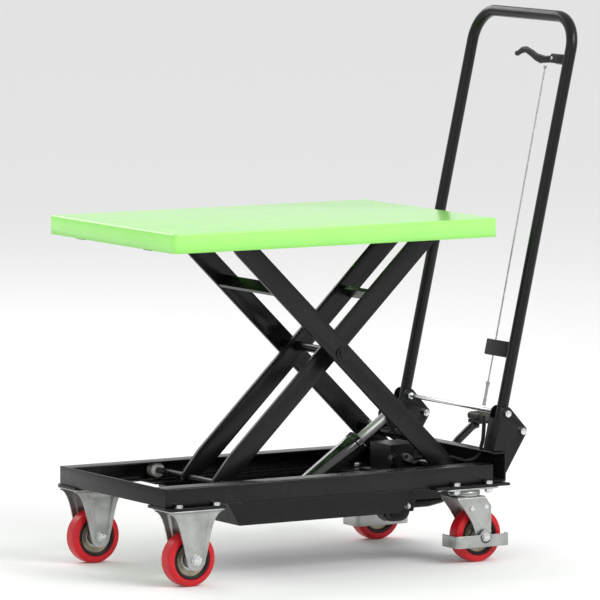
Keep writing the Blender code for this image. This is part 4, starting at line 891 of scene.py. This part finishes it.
def fork_leg(piece, centre_x, middle_y, way, rows, rib_width, rib_depth, bend=6 * MM):
    """A pressed leg: it bends down out of the top plate, narrows to the axle and has a raised middle rib.

    rows holds (height, width in front, width behind) from the plate down. rib_width is a share of the leg's
    half width, and the rib fades out below the plate and above the axle.
    """
    top_z, top_left, top_right = rows[0]
    stations = []
    for i in range(7):
        angle = math.radians(90 * i / 6)
        y, z = FORK_FACE - bend + bend * math.sin(angle), top_z - bend + bend * math.cos(angle)
        stations.append((y, z, top_left, top_right))
    stations += [(FORK_FACE, z, left, right) for z, left, right in rows[1:]]
    part = bmesh.new()
    grid = []
    for y, z, left, right in stations:
        fade = clamp((top_z - 8 * MM - z) / (10 * MM)) * clamp((z - 62 * MM) / (10 * MM))
        line = []
        for i in range(LEG_COLUMNS + 1):
            x = centre_x - left + (left + right) * (i / LEG_COLUMNS)
            reach = abs(x - centre_x) / (rib_width * (left + right) / 2)
            rise = clamp((1.0 - reach) / 0.28)
            swell = rib_depth * rise * rise * (3 - 2 * rise) * fade
            line.append(part.verts.new((x, middle_y + way * (y + swell), z)))
        grid.append(line)
    for above, below in zip(grid, grid[1:]):
        for i in range(LEG_COLUMNS):
            part.faces.new((above[i], above[i + 1], below[i + 1], below[i]))
    bmesh.ops.recalc_face_normals(part, faces=part.faces)
    part.faces.ensure_lookup_table()
    if part.faces[len(part.faces) // 2].normal.y * way < 0:
        bmesh.ops.reverse_faces(part, faces=part.faces)
    bmesh.ops.solidify(part, geom=part.faces[:], thickness=SHEET)
    piece.take(part, 0)


def tip_rows(radius, centre_z):
    """The rows of a leg's round end, below the axle's height."""
    rows = []
    for i in range(1, 9):
        angle = math.radians(90 * i / 8)
        width = max(0.6 * MM, radius * math.cos(angle))
        rows.append((centre_z - radius * math.sin(angle) * 0.999, width, width))
    return rows


def plate_spots(xs, middle_y, z):
    return [Vector((x, middle_y + offset, z)) for x in xs for offset in (-PLATE_BOLT_Y, PLATE_BOLT_Y)]


def plate_bolts(piece, xs, middle_y, plate_top):
    """The four bolts that hold a caster, with their heads over the rail's plate."""
    for spot in plate_spots(xs, middle_y, plate_top + 5.9 * MM):
        piece.nut(spot, Z_AXIS, 13 * MM, 4.6 * MM, material=1)
        piece.rod(spot - Z_AXIS * 8.2 * MM, spot, 4 * MM, 16, 0.2 * MM, 1)


def make_front_forks():
    """Fixed forks: a plate with two flared and ribbed legs, and the axle with a nut at each end."""
    x = FRONT_AXLE.x
    plate_x, plate_half = x + 1 * MM, 57 * MM
    flare = [(0.0, 54.0), (6.0, 52.5), (9.0, 47.5), (14.0, 43.0), (22.0, 38.6), (32.0, 34.6), (45.0, 31.0),
             (60.0, 27.6), (75.0, 24.4), (87.0, 21.4), (91.3, 20.0)]
    for label, side in SIDES.items():
        middle_y = side * CASTER_Y
        top_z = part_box(f"base_rail_{label}")[0].z - GAP
        piece = Piece(f"front_fork_{label}_pressed", ZINC, BRIGHT)
        outline = rounded_rectangle((plate_x - plate_half, middle_y - PLATE_HALF),
                                    (plate_x + plate_half, middle_y + PLATE_HALF), PLATE_CORNER)
        piece.plate(outline, top_z - SHEET, top_z, "XY", bevel=0.8 * MM)
        rows = [(top_z - drop * MM, half * MM, half * MM) for drop, half in flare]
        rows += tip_rows(20 * MM, 51.4 * MM)
        for way in (-1, 1):
            fork_leg(piece, x, middle_y, way, rows, 0.72, 2.6 * MM)
        plate_bolts(piece, (x - 37 * MM, x + 42 * MM), middle_y, top_z)
        axle = at_y(FRONT_AXLE, middle_y)
        piece.rod(axle - Y_AXIS * 34 * MM, axle + Y_AXIS * 34 * MM, AXLE_RADIUS, 32, material=1)
        for axis in (-Y_AXIS, Y_AXIS):
            piece.nut(axle + axis * 29.1 * MM, axis, 17 * MM, 5.2 * MM, material=1)
        piece.done("base", [f"front_fork_{label}"])


def make_swivel_plate(label, middle_y):
    """The fixed half of a swivel caster: plate, ball race and kingpin, with the four bolts and their nuts."""
    node = f"swivel_plate_{label}"
    low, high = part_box(node)
    top_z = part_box(f"base_rail_{label}")[0].z - GAP
    piece = Piece(node + "_pressed", ZINC, BRIGHT, RING)
    outline = rounded_rectangle((low.x, middle_y - PLATE_HALF), (high.x, middle_y + PLATE_HALF), PLATE_CORNER)
    piece.plate(outline, top_z - SHEET, top_z, "XY", bevel=0.8 * MM)
    centre = Vector((SWIVEL.x, middle_y, 0))
    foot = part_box(f"rear_fork_{label}")[1].z + GAP
    rim = [(0.0, 0.0), (27.0, 0.0), (29.6, 0.8), (31.0, 3.4), (31.0, 7.4), (29.4, 10.4)]
    race = [(r * MM, foot + h * MM) for r, h in rim] + [(26.0 * MM, top_z - 2 * MM), (0.0, top_z - 2 * MM)]
    groove = [(r * MM, foot + h * MM) for r, h in ((30.2, 4.6), (31.0, 4.8), (31.0, 6.0), (30.2, 6.2))]
    piece.turned(race, centre, Z_AXIS, 64)
    piece.turned(groove, centre, Z_AXIS, 64, 2)
    piece.rod(centre + Z_AXIS * 118 * MM, centre + Z_AXIS * (foot + 2 * MM), AXLE_RADIUS, 32, material=1)
    piece.rod(centre + Z_AXIS * 116.5 * MM, centre + Z_AXIS * 122.2 * MM, 10 * MM, 40, 1.5 * MM, 1)
    bolts_x = (SWIVEL.x - 35 * MM, SWIVEL.x + 37 * MM)
    plate_bolts(piece, bolts_x, middle_y, top_z)
    for spot in plate_spots(bolts_x, middle_y, top_z - SHEET):
        piece.nut(spot, -Z_AXIS, 13 * MM, 5.0 * MM, material=1, stud=2.0 * MM)
    piece.done("base", [node])


def make_rear_fork(label, middle_y):
    """The turning fork, swept back to its axle, with two rivets in each leg."""
    node = f"rear_fork_{label}"
    low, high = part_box(node)
    crown = high.z
    piece = Piece(node + "_pressed", ZINC, BRIGHT)
    crown_half = 27 * MM
    piece.box((low.x + 1 * MM, middle_y - crown_half, crown - 3.4 * MM),
              (low.x + 63 * MM, middle_y + crown_half, crown), bevel=1.0 * MM)
    shoulder = [(0.0, 58.0, 4.0), (4.0, 57.6, 6.5), (8.0, 55.5, 8.8), (12.0, 52.0, 11.0)]
    shank = [(19.0, 46.0), (30.0, 37.8), (44.0, 28.4), (54.0, 23.4), (64.0, 19.6), (76.0, 17.0)]
    edges = shoulder + [(drop, left, 17.0) for drop, left in shank]
    rows = [(crown - drop * MM, left * MM, right * MM) for drop, left, right in edges]
    rows += tip_rows(17 * MM, REAR_AXLE.z)
    rivets = ((REAR_AXLE.x - 26.4 * MM, 103.7 * MM), (REAR_AXLE.x + 5.0 * MM, 106.3 * MM))
    for way in (-1, 1):
        fork_leg(piece, REAR_AXLE.x, middle_y, way, rows, 0.5, 1.6 * MM, bend=4 * MM)
        for x, z in rivets:
            spot = Vector((x, middle_y + way * 28.6 * MM, z))
            piece.rod(spot, spot + Y_AXIS * way * 3.0 * MM, 5 * MM, 28, 1.4 * MM, 1)
    piece.done(f"swivel_{label}", [node])


def make_brake_band(label):
    """A bent strip that goes round the wheel's near face, with an eye on the axle."""
    low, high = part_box(f"brake_band_{label}")
    hem_y = low.y + 14 * MM
    strip = [(low.x + SHEET, high.y), (low.x, high.y), (low.x, low.y), (high.x, low.y), (high.x, hem_y),
             (high.x - SHEET, hem_y), (high.x - SHEET, low.y + SHEET), (low.x + SHEET, low.y + SHEET)]
    bends = {2: 7 * MM, 7: 4 * MM, 3: 6 * MM, 6: 3 * MM}
    piece = Piece(f"brake_band_{label}_bent", ZINC)
    piece.plate(soften(strip, 1.2 * MM, 6, bends), 31 * MM, 54 * MM, "XY", bevel=0.8 * MM)
    eye = (REAR_AXLE.x, REAR_AXLE.z)
    piece.plate(circle(eye, 12.8 * MM), low.y, low.y + SHEET, "XZ", [circle(eye, 6.2 * MM)])
    piece.done(f"brake_{label}", [f"brake_band_{label}"])


def make_rear_axle(label, middle_y):
    low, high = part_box(f"rear_axle_{label}")
    band_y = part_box(f"brake_band_{label}")[0].y
    piece = Piece(f"rear_axle_{label}_turned", BRIGHT)
    piece.rod(at_y(REAR_AXLE, low.y + 2 * MM), at_y(REAR_AXLE, high.y - 1 * MM), AXLE_RADIUS, 32)
    piece.nut(at_y(REAR_AXLE, band_y - 0.1 * MM), -Y_AXIS, 14 * MM, 3.8 * MM)
    piece.nut(at_y(REAR_AXLE, middle_y + FORK_FACE + GAP), Y_AXIS, 14 * MM, 5.0 * MM)
    piece.done(f"swivel_{label}", [f"rear_axle_{label}"])


def make_rear_casters():
    for label, side in SIDES.items():
        middle_y = side * CASTER_Y
        make_swivel_plate(label, middle_y)
        make_rear_fork(label, middle_y)
        make_brake_band(label)
        make_rear_axle(label, middle_y)


# ---- Pedal ----


def make_pedal_pad():
    """A moulded pad with rounded corners and raised treads across it."""
    low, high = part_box("pedal_pad")
    tread, half_tread = 1.2 * MM, 2 * MM
    piece = Piece("pedal_pad_moulded", RUBBER)
    outline = rounded_rectangle((low.x, low.y), (high.x, high.y), 11 * MM)
    piece.plate(outline, low.z, high.z - tread, "XY", bevel=4.5 * MM)
    count, end_margin, side_margin = 9, 10 * MM, 6 * MM
    for i in range(count):
        x = low.x + end_margin + (high.x - low.x - 2 * end_margin) * i / (count - 1)
        piece.box((x - half_tread, low.y + side_margin, high.z - 2 * tread),
                  (x + half_tread, high.y - side_margin, high.z), bevel=0.9 * MM)
    piece.done("pedal", ["pedal_pad"])


def make_pedal_bolt():
    """The head of the bolt that the pedal arm turns on, against its hanging bracket."""
    piece = Piece("pedal_bolt", BRIGHT)
    piece.nut(at_y(joint_point("pedal_pivot"), -10.2 * MM), -Y_AXIS, 10 * MM, 4.5 * MM)
    piece.done("base")


# ---- Everything carried over from the frame ----


def dress_carried_nodes():
    """Gives a material to each node whose CAD mesh is shown as it is."""
    finishes = {
        "belly_pan": BLACK,
        "pump_body": PUMP,
        "valve_lever": ZINC,
        "pedal_arm": BLACK,
        "pump_plunger": STEEL,
        "plunger_spring": STEEL,
        "outer_arm_tie": BLACK,
        "inner_arm_tie": BLACK,
    }
    for node, material in finishes.items():
        obj = frame["nodes"][node]
        obj.data.materials.clear()
        obj.data.materials.append(material)


# ---- Stage ----


def add_area_light(name, place, target, size, power):
    light = bpy.data.lights.new(name, "AREA")
    light.shape = "RECTANGLE"
    light.size, light.size_y = size
    light.energy = power
    obj = add_object(name, light)
    obj.location = place
    obj.rotation_mode = "QUATERNION"
    obj.rotation_quaternion = (Vector(target) - Vector(place)).to_track_quat("-Z", "Y")


def make_floor():
    mesh = bpy.data.meshes.new("floor")
    grid = bmesh.new()
    bmesh.ops.create_grid(grid, x_segments=1, y_segments=1, size=60.0)
    grid.to_mesh(mesh)
    grid.free()
    pale = bpy.data.materials.new("pale_floor")
    pale.use_nodes = True
    shader = pale.node_tree.nodes["Principled BSDF"]
    shader.inputs["Base Color"].default_value = (0.93, 0.93, 0.93, 1.0)
    shader.inputs["Roughness"].default_value = 0.9
    mesh.materials.append(pale)
    add_object("floor", mesh)


def make_lights():
    world = bpy.data.worlds.new("studio")
    world.use_nodes = True
    background = world.node_tree.nodes["Background"]
    background.inputs["Color"].default_value = (1.0, 1.0, 1.0, 1.0)
    background.inputs["Strength"].default_value = 0.82
    bpy.context.scene.world = world
    bpy.context.scene.view_settings.view_transform = "Standard"
    add_area_light("key", (1.6, -4.2, 3.6), (0.0, 0.0, 0.4), (2.6, 2.0), 150)
    add_area_light("fill", (-4.5, -2.5, 2.4), (0.0, 0.0, 0.4), (2.2, 2.2), 12)
    add_area_light("rim", (-0.5, 4.0, 3.2), (0.0, 0.0, 0.5), (3.5, 1.5), 60)


def make_camera():
    """A long lens, well back, which looks slightly down at the front left corner."""
    camera = bpy.data.cameras.new("camera")
    camera.lens = 375.8
    camera.sensor_width = 36.0
    camera.clip_end = 200.0
    heading, dip, roll = math.radians(57.68), math.radians(5.96), math.radians(0.35)
    level = Vector((math.cos(heading), math.sin(heading), 0.0))
    forward = level * math.cos(dip) - Z_AXIS * math.sin(dip)
    obj = add_object("camera", camera)
    obj.location = (-6.2516, -9.797, 1.6996)
    obj.rotation_mode = "QUATERNION"
    obj.rotation_quaternion = forward.to_track_quat("-Z", "Y") @ Matrix.Rotation(roll, 3, "Z").to_quaternion()
    bpy.context.scene.camera = obj


make_camera()
make_platform()
make_platform_rails()
make_arms()
make_shafts()
make_rollers()
make_lift_cross_tube()
make_cylinder()
make_base_rails()
make_crossmembers()
make_brackets()
make_handle_rod()
make_handle_tube()
make_release_lever()
make_cable_guide()
make_release_cable()
make_cable_conduit()
make_wheels()
make_front_forks()
make_rear_casters()
make_pedal_pad()
make_pedal_bolt()
dress_carried_nodes()
make_floor()
make_lights()
